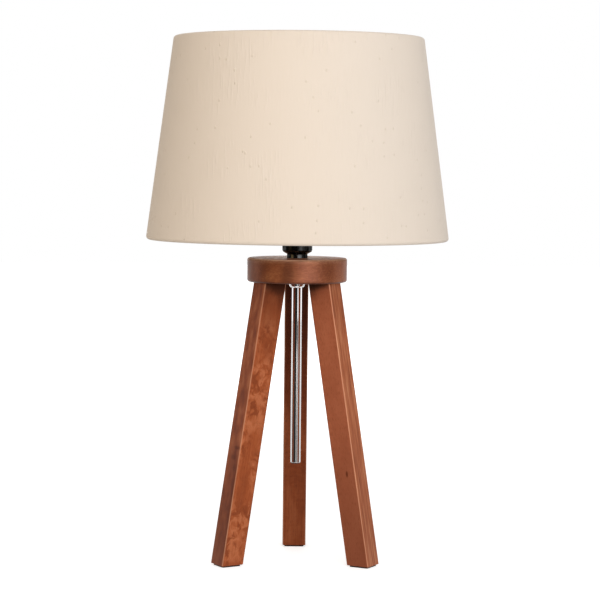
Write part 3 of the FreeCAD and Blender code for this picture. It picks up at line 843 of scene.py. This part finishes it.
# ---------------------------------------------------------------------------------------------------------------
# The stand
# ---------------------------------------------------------------------------------------------------------------

@dataclass(frozen=True)
class Leg:
    """One square leg: where it stands, and how far along the stock its board was cut."""

    name: str
    node: str
    azimuth: float
    board_start: float
    finish: Finish


@dataclass
class Stand:
    """The three splayed legs and the turned hub that they hang from."""

    section: float = 24.0 * MM
    splay: float = math.radians(9.5)
    foot_radius: float = 77.9886 * MM
    edge_round: float = 1.6 * MM
    foot_round: float = 0.6 * MM
    # A leg is cut into cells all ways, and these are cut again along it.
    cells: int = 8
    cells_along: int = 12
    hub_round: float = 2.2 * MM
    hub_bore: float = 5.2 * MM
    hub_band: float = 2.6 * MM
    hub_facets: int = 128
    hub_board_start: float = 3.0
    bolt_radius: float = 32.1331 * MM
    bolt_head: float = 5.05 * MM
    bolt_shank: float = 2.75 * MM
    bolt_recess: float = 0.3 * MM
    bolt_facets: int = 32
    wear_and_painted_shading: WearAndPaintedShading = WearAndPaintedShading()
    # The marks' places are in millimetres along the stock, so those of the second board start at 1000.
    legs: tuple[Leg, ...] = (
        Leg("left_leg", "leg_front_left", math.radians(210), 0.0,
            StainedTimber("stained_left_leg", "#AA5730", "#8C4424", "#C07048", blotch_strength=0.7,
                          # Its narrow faces, turned from the key light, take a darker tone as painted shade.
                          ripple_strength=0.9, ripple_mm=(7.0, 7.0, 9.0), fibre_strength=0.2, side="#9A5437",
                          side_deep="#7C4230", side_pale="#AE6A4A", side_spread=0.2, side_share=0.9,
                          # The first two marks and the first deepening are painted shadow and painted shade under
                          # the hub, across the leg's top.
                          marks=(DarkPlace("#44200E", (-13.0, 12.0, 284.0), 18.0, 26.0, 0.9),
                                 DarkPlace("#2A1408", (-3.0, 12.0, 283.0), 34.0, 16.0, 1.0),
                                 Deepening("#5C2A14", 190.0, 290.0, 0.6), Deepening("#5C2A14", 140.0, 10.0, 0.1)),
                          side_marks=(DarkPlace("#582820", (12.0, 4.0, 102.0), 12.0, 26.0, 0.45),
                                      DarkPlace("#50241C", (12.0, 6.5, 116.0), 10.0, 2.6, 0.6),
                                      DarkPlace("#50241C", (12.0, 1.5, 106.0), 7.0, 3.6, 0.5),
                                      DarkPlace("#50241C", (12.0, 6.0, 96.0), 4.0, 6.0, 0.6),
                                      DarkPlace("#5A2A1C", (12.0, 9.0, 66.0), 4.5, 42.0, 0.6),
                                      Deepening("#5C2A14", 140.0, 10.0, 0.65)))),
        Leg("right_leg", "leg_front_right", math.radians(330), 1.0,
            StainedTimber("stained_right_leg", "#AC6245", "#A0583C", "#B46A4C", blotch_strength=0.5,
                          # Its narrow faces, turned to the key light, take a lighter tone as painted light.
                          fibre_strength=0.15, side="#BA6A44", side_deep="#8C482C", side_pale="#D8946A",
                          side_mm=(2.2, 2.2, 40.0), side_spread=0.24, side_share=0.9,
                          marks=(DarkPlace("#5C2A14", (2.5, -12.0, 1092.0), 1.9, 4.6, 0.85),
                                 # These two marks are the hub's painted shadow across the leg's top.
                                 DarkPlace("#4C2418", (-12.0, -12.0, 1285.0), 16.0, 24.0, 0.85),
                                 DarkPlace("#341A10", (-3.0, -12.0, 1283.0), 26.0, 9.0, 0.9),
                                 # Painted shade, darker towards the foot, on the faces and the narrow faces alike.
                                 Deepening("#5C2A14", 1170.0, 1000.0, 0.55)),
                          side_marks=(Deepening("#5C2A14", 1170.0, 1000.0, 0.25),))),
        Leg("rear_leg", "leg_rear", math.radians(90), 2.0,
            # The rear leg's darker stain is painted shade, deepest towards its top under the hub.
            StainedTimber("stained_rear_leg", "#84401F", "#733519", "#965230", "#3A1A0E", blotch_strength=0.8,
                          fibre_gleam=0.1, marks=(Deepening("#3A1A0E", 2090.0, 2270.0, 0.68),))),
    )

    def __post_init__(self) -> None:
        """Take the heights from the CAD nodes."""
        self.foot_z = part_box("leg_rear")[0].z
        low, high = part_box("hub_disc")
        self.hub_low, self.hub_high, self.hub_radius = low.z, high.z, high.x

    def build(self) -> None:
        """Make the legs and the hub."""
        for leg in self.legs:
            self.make_leg(leg)
        self.make_hub()

    def make_leg(self, leg: Leg) -> None:
        """Make a square bar with eased edges, leaning inwards, sawn level at the foot and under the hub.

        Args:
            leg: The leg to make.
        """
        overrun = self.section
        length = (self.hub_low - self.foot_z) / math.cos(self.splay) + 2 * overrun
        bm = bmesh.new()
        middle = Matrix.Translation((0, 0, length / 2 - overrun))
        bmesh.ops.create_cube(bm, size=1.0, matrix=middle @ Matrix.Diagonal((self.section, self.section, length, 1)))
        bmesh.ops.subdivide_edges(bm, edges=bm.edges[:], cuts=self.cells - 1, use_grid_fill=True)
        upright = [edge for edge in bm.edges if abs((edge.verts[0].co - edge.verts[1].co).z) > SLACK]
        bmesh.ops.subdivide_edges(bm, edges=upright, cuts=self.cells_along - 1)
        half = self.section / 2 - SLACK
        arrises = [edge for edge in bm.edges
                   if all(min(abs(vert.co.x), abs(vert.co.y)) > half for vert in edge.verts)]
        round_off(bm, arrises, self.edge_round, 5)
        place = (Matrix.Rotation(leg.azimuth, 4, "Z") @ Matrix.Translation((self.foot_radius, 0, self.foot_z))
                 @ Matrix.Rotation(-self.splay, 4, "Y"))
        bmesh.ops.transform(bm, matrix=place, verts=bm.verts)
        for height, side in ((self.foot_z, -1), (self.hub_low, 1)):
            bmesh.ops.bisect_plane(bm, geom=bm.verts[:] + bm.edges[:] + bm.faces[:], plane_co=(0, 0, height),
                                   plane_no=(0, 0, side), clear_outer=True)
            bmesh.ops.contextual_create(bm, geom=[edge for edge in bm.edges if edge.is_boundary])
        bmesh.ops.recalc_face_normals(bm, faces=bm.faces)
        sole = [edge for edge in bm.edges if all(vert.co.z < self.foot_z + SLACK for vert in edge.verts)]
        round_off(bm, sole, self.foot_round, 2)
        piece = make_piece(leg.name, bm, Body.BASE, Slot.TIMBER, leg.node, leg.finish)
        along = Matrix.Translation((0, 0, leg.board_start)) @ place.inverted()
        self.wear_and_painted_shading.mark(piece, along, Form.SQUARE)
        even_shading(piece)

    def make_hub(self) -> None:
        """Make the turned disc with its bore and the three countersunk bolt holes."""
        low, high, radius, reach = self.hub_low, self.hub_high, self.hub_radius, self.hub_round
        band = reach + self.hub_band
        outline = [Corner(self.hub_bore, low), Corner(radius - band, low), Corner(radius, low, reach, 5),
                   Corner(radius, low + band), Corner(radius, high - band), Corner(radius, high, reach, 5),
                   Corner(radius - band, high), Corner(self.hub_bore, high)]
        piece = make_piece("hub", lathe(outline, self.hub_facets), Body.BASE, Slot.TIMBER, "hub_disc")
        along = Matrix.Translation((0, 0, self.hub_board_start)) @ Matrix.Rotation(math.pi / 2, 4, "Y")
        self.wear_and_painted_shading.mark(piece, along, Form.TURNED)
        head_z = high - self.bolt_recess
        cone_z = head_z - (self.bolt_head - self.bolt_shank)
        hole = [Corner(0, low - MM), Corner(self.bolt_shank, low - MM), Corner(self.bolt_shank, cone_z),
                Corner(self.bolt_head, head_z), Corner(self.bolt_head, high + MM), Corner(0, high + MM)]
        cutters = [lathe(hole, self.bolt_facets, closed=False) for _ in self.legs]
        for leg, cutter in zip(self.legs, cutters):
            centre = Matrix.Rotation(leg.azimuth, 4, "Z") @ Vector((self.bolt_radius, 0, 0))
            bmesh.ops.translate(cutter, vec=centre, verts=cutter.verts)
        cut(piece, cutters)
        even_shading(piece)


# ---------------------------------------------------------------------------------------------------------------
# Cable tube and lampholder
# ---------------------------------------------------------------------------------------------------------------

@dataclass
class CableTube:
    """The chrome tube through the hub, with its domed collar and the bush in its lower end."""

    wall: float = 1.0 * MM
    lip_round: float = 0.45 * MM
    collar_radius: float = 7.8 * MM
    collar_rim: float = 1.8 * MM
    collar_rim_round: float = 0.3 * MM
    collar_bowl: float = 3.7 * MM
    chrome_facets: int = 96
    bush_lip: float = 4.5 * MM
    bush_lip_round: float = 0.3 * MM
    bush_sleeve: float = 3.95 * MM
    bush_bore: float = 3.1 * MM
    bush_bore_round: float = 0.25 * MM
    bush_flange: float = 0.8 * MM
    bush_facets: int = 64

    def build(self) -> None:
        """Make the tube, the collar and the bush."""
        low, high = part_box("cable_tube")
        radius, inner = high.x, high.x - self.wall
        tube = [Corner(inner, low.z), Corner(radius, low.z, self.lip_round, 5), Corner(radius, high.z),
                Corner(inner, high.z)]
        low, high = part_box("tube_collar")
        collar = [Corner(radius, high.z), Corner(self.collar_radius, high.z, self.collar_rim_round, 2),
                  Corner(self.collar_radius, high.z - self.collar_rim),
                  Corner(self.collar_radius, low.z, self.collar_bowl, 10), Corner(radius, low.z)]
        for name, outline, node in (("tube", tube, "cable_tube"), ("collar", collar, "tube_collar")):
            even_shading(make_piece(name, lathe(outline, self.chrome_facets), Body.BASE, Slot.CHROME, node))
        low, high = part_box("tube_bush")
        flange_z = low.z + self.bush_flange
        bush = [Corner(self.bush_bore, low.z, self.bush_bore_round, 3),
                Corner(self.bush_lip, low.z, self.bush_lip_round, 3), Corner(self.bush_lip, flange_z),
                Corner(self.bush_sleeve, flange_z), Corner(self.bush_sleeve, high.z), Corner(self.bush_bore, high.z)]
        make_piece("bush", lathe(bush, self.bush_facets), Body.BASE, Slot.NYLON, "tube_bush")


@dataclass
class Lampholder:
    """The black cap on the hub and the springs that press the contact plungers up."""

    bore: float = 5.05 * MM
    neck_foot: float = 10.6 * MM
    neck_foot_round: float = 0.2 * MM
    neck: float = 10.25 * MM
    neck_height: float = 3.9 * MM
    neck_round: float = 0.5 * MM
    shoulder: float = 2.7 * MM
    shoulder_round: float = 1.3 * MM
    cap_wall: float = 2.2 * MM
    cap_facets: int = 96
    screw_radius: float = 1.55 * MM
    screw_height: float = 2.0 * MM
    screw_facets: int = 32
    contact_spacing: float = 10.6 * MM
    spring_wire: float = 0.5 * MM
    wire_facets: int = 12
    coil_radius: float = 1.7 * MM
    coil_turns: int = 4
    coil_steps: int = 24
    press_travel: float = 2.5 * MM

    def build(self) -> None:
        """Make the cap and the springs."""
        self.make_cap()
        self.make_springs()

    def make_cap(self) -> None:
        """Make the turned cap, with the hole for its lock screw."""
        low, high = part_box("holder_cap")
        outer, inner = high.x, high.x - self.cap_wall
        shoulder_z = low.z + self.neck_height
        outline = [Corner(self.bore, low.z), Corner(self.neck_foot, low.z, self.neck_foot_round, 2),
                   Corner(self.neck, shoulder_z, self.neck_round, 4),
                   Corner(outer, shoulder_z + self.shoulder, self.shoulder_round, 6), Corner(outer, high.z),
                   Corner(inner, high.z), Corner(inner, shoulder_z + self.cap_wall),
                   Corner(self.bore, shoulder_z + self.cap_wall)]
        cap = make_piece("cap", lathe(outline, self.cap_facets), Body.BASE, Slot.PHENOLIC, "holder_cap")
        hole = bmesh.new()
        length = self.neck_foot
        turn = Matrix.Translation((0, length, low.z + self.screw_height)) @ Matrix.Rotation(math.pi / 2, 4, "X")
        bmesh.ops.create_cone(hole, cap_ends=True, segments=self.screw_facets, radius1=self.screw_radius,
                              radius2=self.screw_radius, depth=length, matrix=turn)
        cut(cap, [hole])
        even_shading(cap)

    def make_springs(self) -> None:
        """Make the two coil springs under the contact plungers."""
        low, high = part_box("plunger_springs")
        steps = self.coil_turns * self.coil_steps
        rise = (high.z - low.z - self.spring_wire) / steps
        centre = Vector((self.contact_spacing / 2, 0, low.z + self.spring_wire / 2))
        side = Matrix.Translation(centre + Vector((self.coil_radius, 0, 0))) @ Matrix.Rotation(math.pi / 2, 4, "X")
        bm = bmesh.new()
        for half_turn in (0.0, math.pi):
            coil: list[Any] = bmesh.ops.create_circle(bm, cap_ends=False, radius=self.spring_wire / 2,
                                                      segments=self.wire_facets, matrix=side)["verts"]
            last = coil + list({edge for vert in coil for edge in vert.link_edges})
            for _ in range(steps):
                last = bmesh.ops.spin(bm, geom=last, cent=centre, axis=UP, dvec=UP * rise,
                                      angle=FULL_TURN / self.coil_steps, steps=1)["geom_last"]
                coil += [item for item in last if isinstance(item, bmesh.types.BMVert)]
            bmesh.ops.rotate(bm, cent=(0, 0, 0), matrix=Matrix.Rotation(half_turn, 3, "Z"), verts=coil)
        bmesh.ops.holes_fill(bm, edges=[edge for edge in bm.edges if edge.is_boundary])
        bmesh.ops.recalc_face_normals(bm, faces=bm.faces)
        springs = make_piece("springs", bm, Body.BASE, Slot.SPRING, "plunger_springs")
        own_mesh(springs)


# ---------------------------------------------------------------------------------------------------------------
# Shade
# ---------------------------------------------------------------------------------------------------------------

@dataclass
class Shade:
    """The drum of cloth on a stiff lining, rolled over a wire ring at each end.

    The cloth is one sheet, cut as a sector of a flat ring and lapped over itself at the rear.
    """

    top_radius: float = 125.0 * MM
    wire: float = 3.0 * MM
    lining: float = 0.8 * MM
    cloth: float = 0.7 * MM
    hem_gap: float = 0.3 * MM
    lap: float = math.radians(3.5)
    lap_ramp: float = math.radians(2.5)
    # The lap lies this many cloth thicknesses above the cloth below it.
    lap_lift: float = 1.1
    columns: int = 252
    rows: int = 44
    hem_steps: int = 12
    lining_facets: int = 192
    ring_facets: int = 160
    wire_facets: int = 16

    def __post_init__(self) -> None:
        """Work out the wall's slant and the wires' places from the CAD node's box."""
        low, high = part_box("shade_fabric")
        self.bottom_radius = high.x
        self.lean = math.atan2(self.bottom_radius - self.top_radius, high.z - low.z)
        self.out = Vector((math.cos(self.lean), 0, math.sin(self.lean)))
        self.roll = self.wire / 2 + self.lining + self.cloth
        inset = self.roll / math.cos(self.lean)
        self.bottom_wire = Vector((self.bottom_radius - inset, 0, low.z + self.roll))
        self.top_wire = Vector((self.top_radius - inset, 0, high.z - self.roll))
        self.wrap = math.pi - math.asin((self.wire / 2 + self.hem_gap) / (self.roll - self.cloth))

    def build(self) -> None:
        """Make the cloth, the lining and the two wires."""
        cloth, length = self.make_cloth()
        self.make_lining()
        self.make_wire("top_wire", self.top_wire, "shade_top_wire")
        self.make_wire("bottom_wire", self.bottom_wire, "shade_bottom_wire")

    def section(self) -> tuple[Mesh, bmesh.types.BMLayerItem, float]:
        """Draw the cloth's outer line from hem to hem.

        Returns:
            The line, the layer with each point's run along it from the lower hem, and its whole length.
        """
        bm = bmesh.new()
        run = bm.verts.layers.float.new("run")
        low, high = (bm.verts.new(wire + self.out * self.roll) for wire in (self.bottom_wire, self.top_wire))
        wall = bm.edges.new((low, high))
        for vert, wire, side in ((low, self.bottom_wire, 1), (high, self.top_wire, -1)):
            bmesh.ops.spin(bm, geom=[vert], cent=wire, axis=(0, side, 0), angle=self.wrap, steps=self.hem_steps)
        bmesh.ops.subdivide_edges(bm, edges=[wall], cuts=self.rows - 1)
        vert = min((end for end in bm.verts if len(end.link_edges) == 1), key=lambda end: end.co.z)
        came, length = None, 0.0
        while ahead := [edge for edge in vert.link_edges if edge is not came]:
            vert[run] = length
            came = ahead[0]
            length += came.calc_length()
            vert = came.other_vert(vert)
        vert[run] = length
        return bm, run, length

    def apex_distance(self, run: float) -> float:
        """How far a point of the flat cut lies from the centre of its ring."""
        return self.bottom_radius / math.sin(self.lean) + self.roll * self.wrap - run

    def make_cloth(self) -> tuple[Piece, float]:
        """Wrap the section round the shade from the rear, and lap the end over the start.

        Returns:
            The cloth, and its length from hem to hem.
        """
        bm, run, length = self.section()
        turn = bm.verts.layers.float.new("turn")
        bmesh.ops.rotate(bm, cent=(0, 0, 0), matrix=Matrix.Rotation(math.pi / 2, 3, "Z"), verts=bm.verts)
        step = (FULL_TURN + self.lap) / self.columns
        last: list[Any] = bm.verts[:] + bm.edges[:]
        for column in range(1, self.columns + 1):
            last = bmesh.ops.spin(bm, geom=last, cent=(0, 0, 0), axis=UP, angle=step, steps=1)["geom_last"]
            for vert in last:
                if isinstance(vert, bmesh.types.BMVert):
                    vert[turn] = column * step
        for vert in bm.verts:
            share = min(1.0, max(0.0, (vert[turn] - FULL_TURN + self.lap_ramp) / self.lap_ramp))
            lift = self.cloth * self.lap_lift * share * share * (3 - 2 * share)
            vert.co.xy += vert.co.xy.normalized() * lift
        uv = bm.loops.layers.uv.new("cut")
        for face in bm.faces:
            for loop in face.loops:
                angle = (loop.vert[turn] - math.pi) * math.sin(self.lean)
                away = self.apex_distance(loop.vert[run])
                loop[uv].uv = (away * math.sin(angle), away * math.cos(angle))
        bmesh.ops.recalc_face_normals(bm, faces=bm.faces)
        outward = max(bm.faces, key=lambda face: face.calc_center_median().xy.length)
        if outward.normal.dot(outward.calc_center_median()) < 0:
            bmesh.ops.reverse_faces(bm, faces=bm.faces)
        piece = make_piece("shade_cloth", bm, Body.SHADE, Slot.CLOTH, "shade_fabric")
        thickness = piece.modifiers.new("thickness", "SOLIDIFY")
        thickness.thickness = self.cloth
        thickness.offset = -1.0
        return piece, length

    def make_lining(self) -> None:
        """Make the stiff cone between the wires and the cloth."""
        inside, outside = self.out * (self.wire / 2), self.out * (self.roll - self.cloth)
        corners = (self.bottom_wire + inside, self.bottom_wire + outside, self.top_wire + outside,
                   self.top_wire + inside)
        cone = lathe([Corner(corner.x, corner.z) for corner in corners], self.lining_facets)
        make_piece("shade_lining", cone, Body.SHADE, Slot.LINER, "shade_liner")

    def make_wire(self, name: str, centre: Vector, node: str) -> None:
        """Make one of the two wire rings inside the hems.

        Args:
            name: The ring's name.
            centre: The middle of its wire, where the section is.
            node: The CAD node that it replaces.
        """
        bm = bmesh.new()
        turn = Matrix.Translation(centre) @ Matrix.Rotation(math.pi / 2, 4, "X")
        bmesh.ops.create_circle(bm, cap_ends=False, radius=self.wire / 2, segments=self.wire_facets, matrix=turn)
        spin_round(bm, self.ring_facets)
        make_piece(name, bm, Body.SHADE, Slot.WIRE, node)


# ---------------------------------------------------------------------------------------------------------------
# Studio
# ---------------------------------------------------------------------------------------------------------------

@dataclass(frozen=True)
class MattCloth(Finish):
    """Matt cloth of one colour, for the drapes."""

    colour: str

    def shader(self, tree: Tree) -> Node:
        """The cloth's shader node."""
        return add(tree, "BsdfDiffuse", {"Color": linear(self.colour)})


@dataclass(frozen=True)
class PaleFloor(Finish):
    """Matt pale paint that takes the lamp's soft shadow, with a glow that rises to full white away from it."""

    name: str = "pale_floor"
    paint: str = "#D0D0D0"
    glow: float = 0.64
    # The glow rises to full white between these distances from the lamp.
    glow_reach: tuple[float, float] = (0.6, 2.0)

    def shader(self, tree: Tree) -> Node:
        """Add the glow to the paint, but not for the rays that light the lamp.

        Args:
            tree: The material's node tree.

        Returns:
            The shader node that the material ends in.
        """
        place = add(tree, "TexCoord").outputs["Object"]
        away = add(tree, "VectorMath", {0: place}, operation="LENGTH")
        near, far = self.glow_reach
        rise = add(tree, "MapRange", {"Value": away, "From Min": near, "From Max": far, "To Min": self.glow,
                                      "To Max": 1.0}, interpolation_type="SMOOTHSTEP")
        glow = add(tree, "Emission", {"Color": linear("#FFFFFF"), "Strength": rise})
        unlit = add(tree, "Emission", {"Color": linear("#000000"), "Strength": 0.0})
        lift = add(tree, "MixShader", {0: seen_directly(tree), 1: unlit, 2: glow})
        return add(tree, "AddShader", {0: add(tree, "BsdfDiffuse", {"Color": linear(self.paint)}), 1: lift})


@dataclass(frozen=True)
class Softbox:
    """A rectangular area light, aimed at the lamp's middle, with its level on a white surface facing it."""

    name: str
    azimuth: float
    elevation: float
    distance: float
    width: float
    height: float
    level: float
    colour: str = "#FFFFFF"

    def build(self, aim: Vector) -> None:
        """Place the light.

        Args:
            aim: The point that it faces.
        """
        angle, rise = math.radians(self.azimuth), math.radians(self.elevation)
        away = Vector((math.sin(angle) * math.cos(rise), -math.cos(angle) * math.cos(rise), math.sin(rise)))
        data = bpy.data.lights.new(self.name, "AREA")
        data.shape = "RECTANGLE"
        data.size = self.width
        data.size_y = self.height
        # The power whose light, spread over the distance, gives the level.
        data.energy = self.level * math.pi ** 2 * self.distance ** 2
        data.color = linear(self.colour)[:3]
        light = put(self.name, data)
        light.location = aim + away * self.distance
        light.rotation_euler = away.to_track_quat("Z", "Y").to_euler()
        light.visible_camera = False


@dataclass(frozen=True)
class Drape:
    """A drape round the lamp, between two azimuths in degrees to the right from the front.

    Its wall and its floor have colours of their own, and a part without one is left open. The wall starts at a
    height above the floor.
    """

    left: float
    right: float
    wall: str
    floor: str
    wall_from: float = 1.0 * MM


@dataclass
class Studio:
    """The camera, the pale floor, the white surroundings, the drapes that the chrome mirrors and the lights."""

    camera_place: Vector = field(default_factory=lambda: Vector((3.17, -2160.8, 404.0)) * MM)
    camera_pitch: float = 0.0656
    camera_roll: float = 0.009
    camera_turn: float = -0.0123
    lens_mm: float = 129.44
    sensor_mm: float = 36.0
    sight: float = 50.0
    aim: Vector = field(default_factory=lambda: Vector((0, 0, 0.26)))
    ambient: float = 0.48
    floor_size: float = 12.0
    drape_radius: float = 3.2
    drape_height: float = 2.4
    drape_near: float = 0.2
    drape_floor: float = 1.0 * MM
    drape_steps: int = 24
    drapes: tuple[Drape, ...] = (
        Drape(-160, -135, "#888888", "", 0.14), Drape(-135, -116, "#707070", "#A0A0A0", 0.14),
        Drape(-116, -98, "#D4D4D4", "", 0.14), Drape(-98, -8, "#303030", "#303030"),
        Drape(-8, 2, "#383838", "#484848"), Drape(2, 16, "#606060", "#C4C4C4"), Drape(16, 34, "", "#585858"),
        Drape(38, 62, "#D0D0D0", "#808080"), Drape(62, 80, "#A0A0A0", "#707070"),
        Drape(80, 97, "#404040", "#404040"), Drape(97, 116, "#BCBCBC", "", 0.14),
        Drape(116, 135, "#585858", "#A0A0A0", 0.14), Drape(135, 160, "#888888", "", 0.14))
    lights: tuple[Softbox, ...] = (
        Softbox("key", 14, 20, 2.4, 0.9, 1.6, 0.385),
        Softbox("low_strip", 36, 13, 2.3, 1.0, 1.0, 0.19),
        Softbox("left_fill", -58, 15, 2.4, 1.2, 1.2, 0.16, "#FFDA98"),
        Softbox("back_fill", 180, 24, 2.6, 1.8, 1.8, 0.42),
    )

    def build(self) -> None:
        """Set up everything that isn't the lamp."""
        bpy.context.scene.view_settings.view_transform = "Standard"
        self.make_camera()
        self.make_world()
        self.make_floor()
        for drape in self.drapes:
            self.make_drape(drape)
        for light in self.lights:
            light.build(self.aim)

    def make_camera(self) -> None:
        """Set the camera before the lamp, a little above its middle, with a long lens."""
        data = bpy.data.cameras.new("camera")
        data.lens = self.lens_mm
        data.sensor_width = self.sensor_mm
        data.clip_end = self.sight
        camera = put("camera", data)
        camera.matrix_world = (Matrix.Rotation(self.camera_turn, 4, "Z") @ Matrix.Translation(self.camera_place)
                               @ Matrix.Rotation(math.pi / 2 - self.camera_pitch, 4, "X")
                               @ Matrix.Rotation(self.camera_roll, 4, "Z"))
        bpy.context.scene.camera = camera

    def make_world(self) -> None:
        """Make the surroundings white where they are seen, and a lower even light elsewhere."""
        world = bpy.data.worlds.new("surroundings")
        bpy.context.scene.world = world
        tree = empty_tree(world)
        even, seen = (add(tree, "Background", {"Color": linear("#FFFFFF"), "Strength": strength})
                      for strength in (self.ambient, 1.0))
        both = add(tree, "MixShader", {0: seen_directly(tree), 1: even, 2: seen})
        add(tree, "OutputWorld", {"Surface": both})

    def make_floor(self) -> None:
        """Lay the pale floor, which meets the surroundings without a line."""
        bm = bmesh.new()
        bmesh.ops.create_grid(bm, x_segments=1, y_segments=1, size=self.floor_size / 2)
        put_mesh("floor", bm, PaleFloor())

    def make_drape(self, drape: Drape) -> None:
        """Hang a drape and lay its floor, where only polished surfaces show them.

        Args:
            drape: Its azimuths and its colours.
        """
        wall = ((self.drape_radius, drape.wall_from), (self.drape_radius, self.drape_height))
        floor = ((self.drape_near, self.drape_floor), (self.drape_radius, self.drape_floor))
        left, right = math.radians(drape.left), math.radians(drape.right)
        for colour, ends in ((drape.wall, wall), (drape.floor, floor)):
            if not colour:
                continue
            bm = bmesh.new()
            verts = [bm.verts.new((0, -radius, height)) for radius, height in ends]
            edge = bm.edges.new(verts)
            bmesh.ops.rotate(bm, cent=(0, 0, 0), matrix=Matrix.Rotation(left, 3, "Z"), verts=bm.verts)
            bmesh.ops.spin(bm, geom=verts + [edge], cent=(0, 0, 0), axis=UP, angle=right - left,
                           steps=self.drape_steps)
            hung = put_mesh("drape", bm, MattCloth("drape_cloth_" + colour[1:], colour))
            hung.visible_camera = False
            hung.visible_diffuse = False
            hung.visible_shadow = False


def dress_cad_nodes() -> None:
    """Give every CAD node that still shows the finish of its slot."""
    for part in frame["record"]["subparts"]:
        node = frame["nodes"][part["node"]]
        material = FINISHES[Slot(part["material_slot"])].material()
        for holder in node.material_slots:
            holder.material = material


def write_sizes() -> None:
    """Bring the view layer up to date."""
    bpy.context.view_layer.update()


def main() -> None:
    """Build the studio, then the lamp from the floor up."""
    logging.basicConfig(level=logging.INFO, format="%(name)s: %(message)s")
    Studio().build()
    dress_cad_nodes()
    Stand().build()
    CableTube().build()
    Lampholder().build()
    Shade().build()
    write_sizes()


if __name__ == "__main__":
    main()
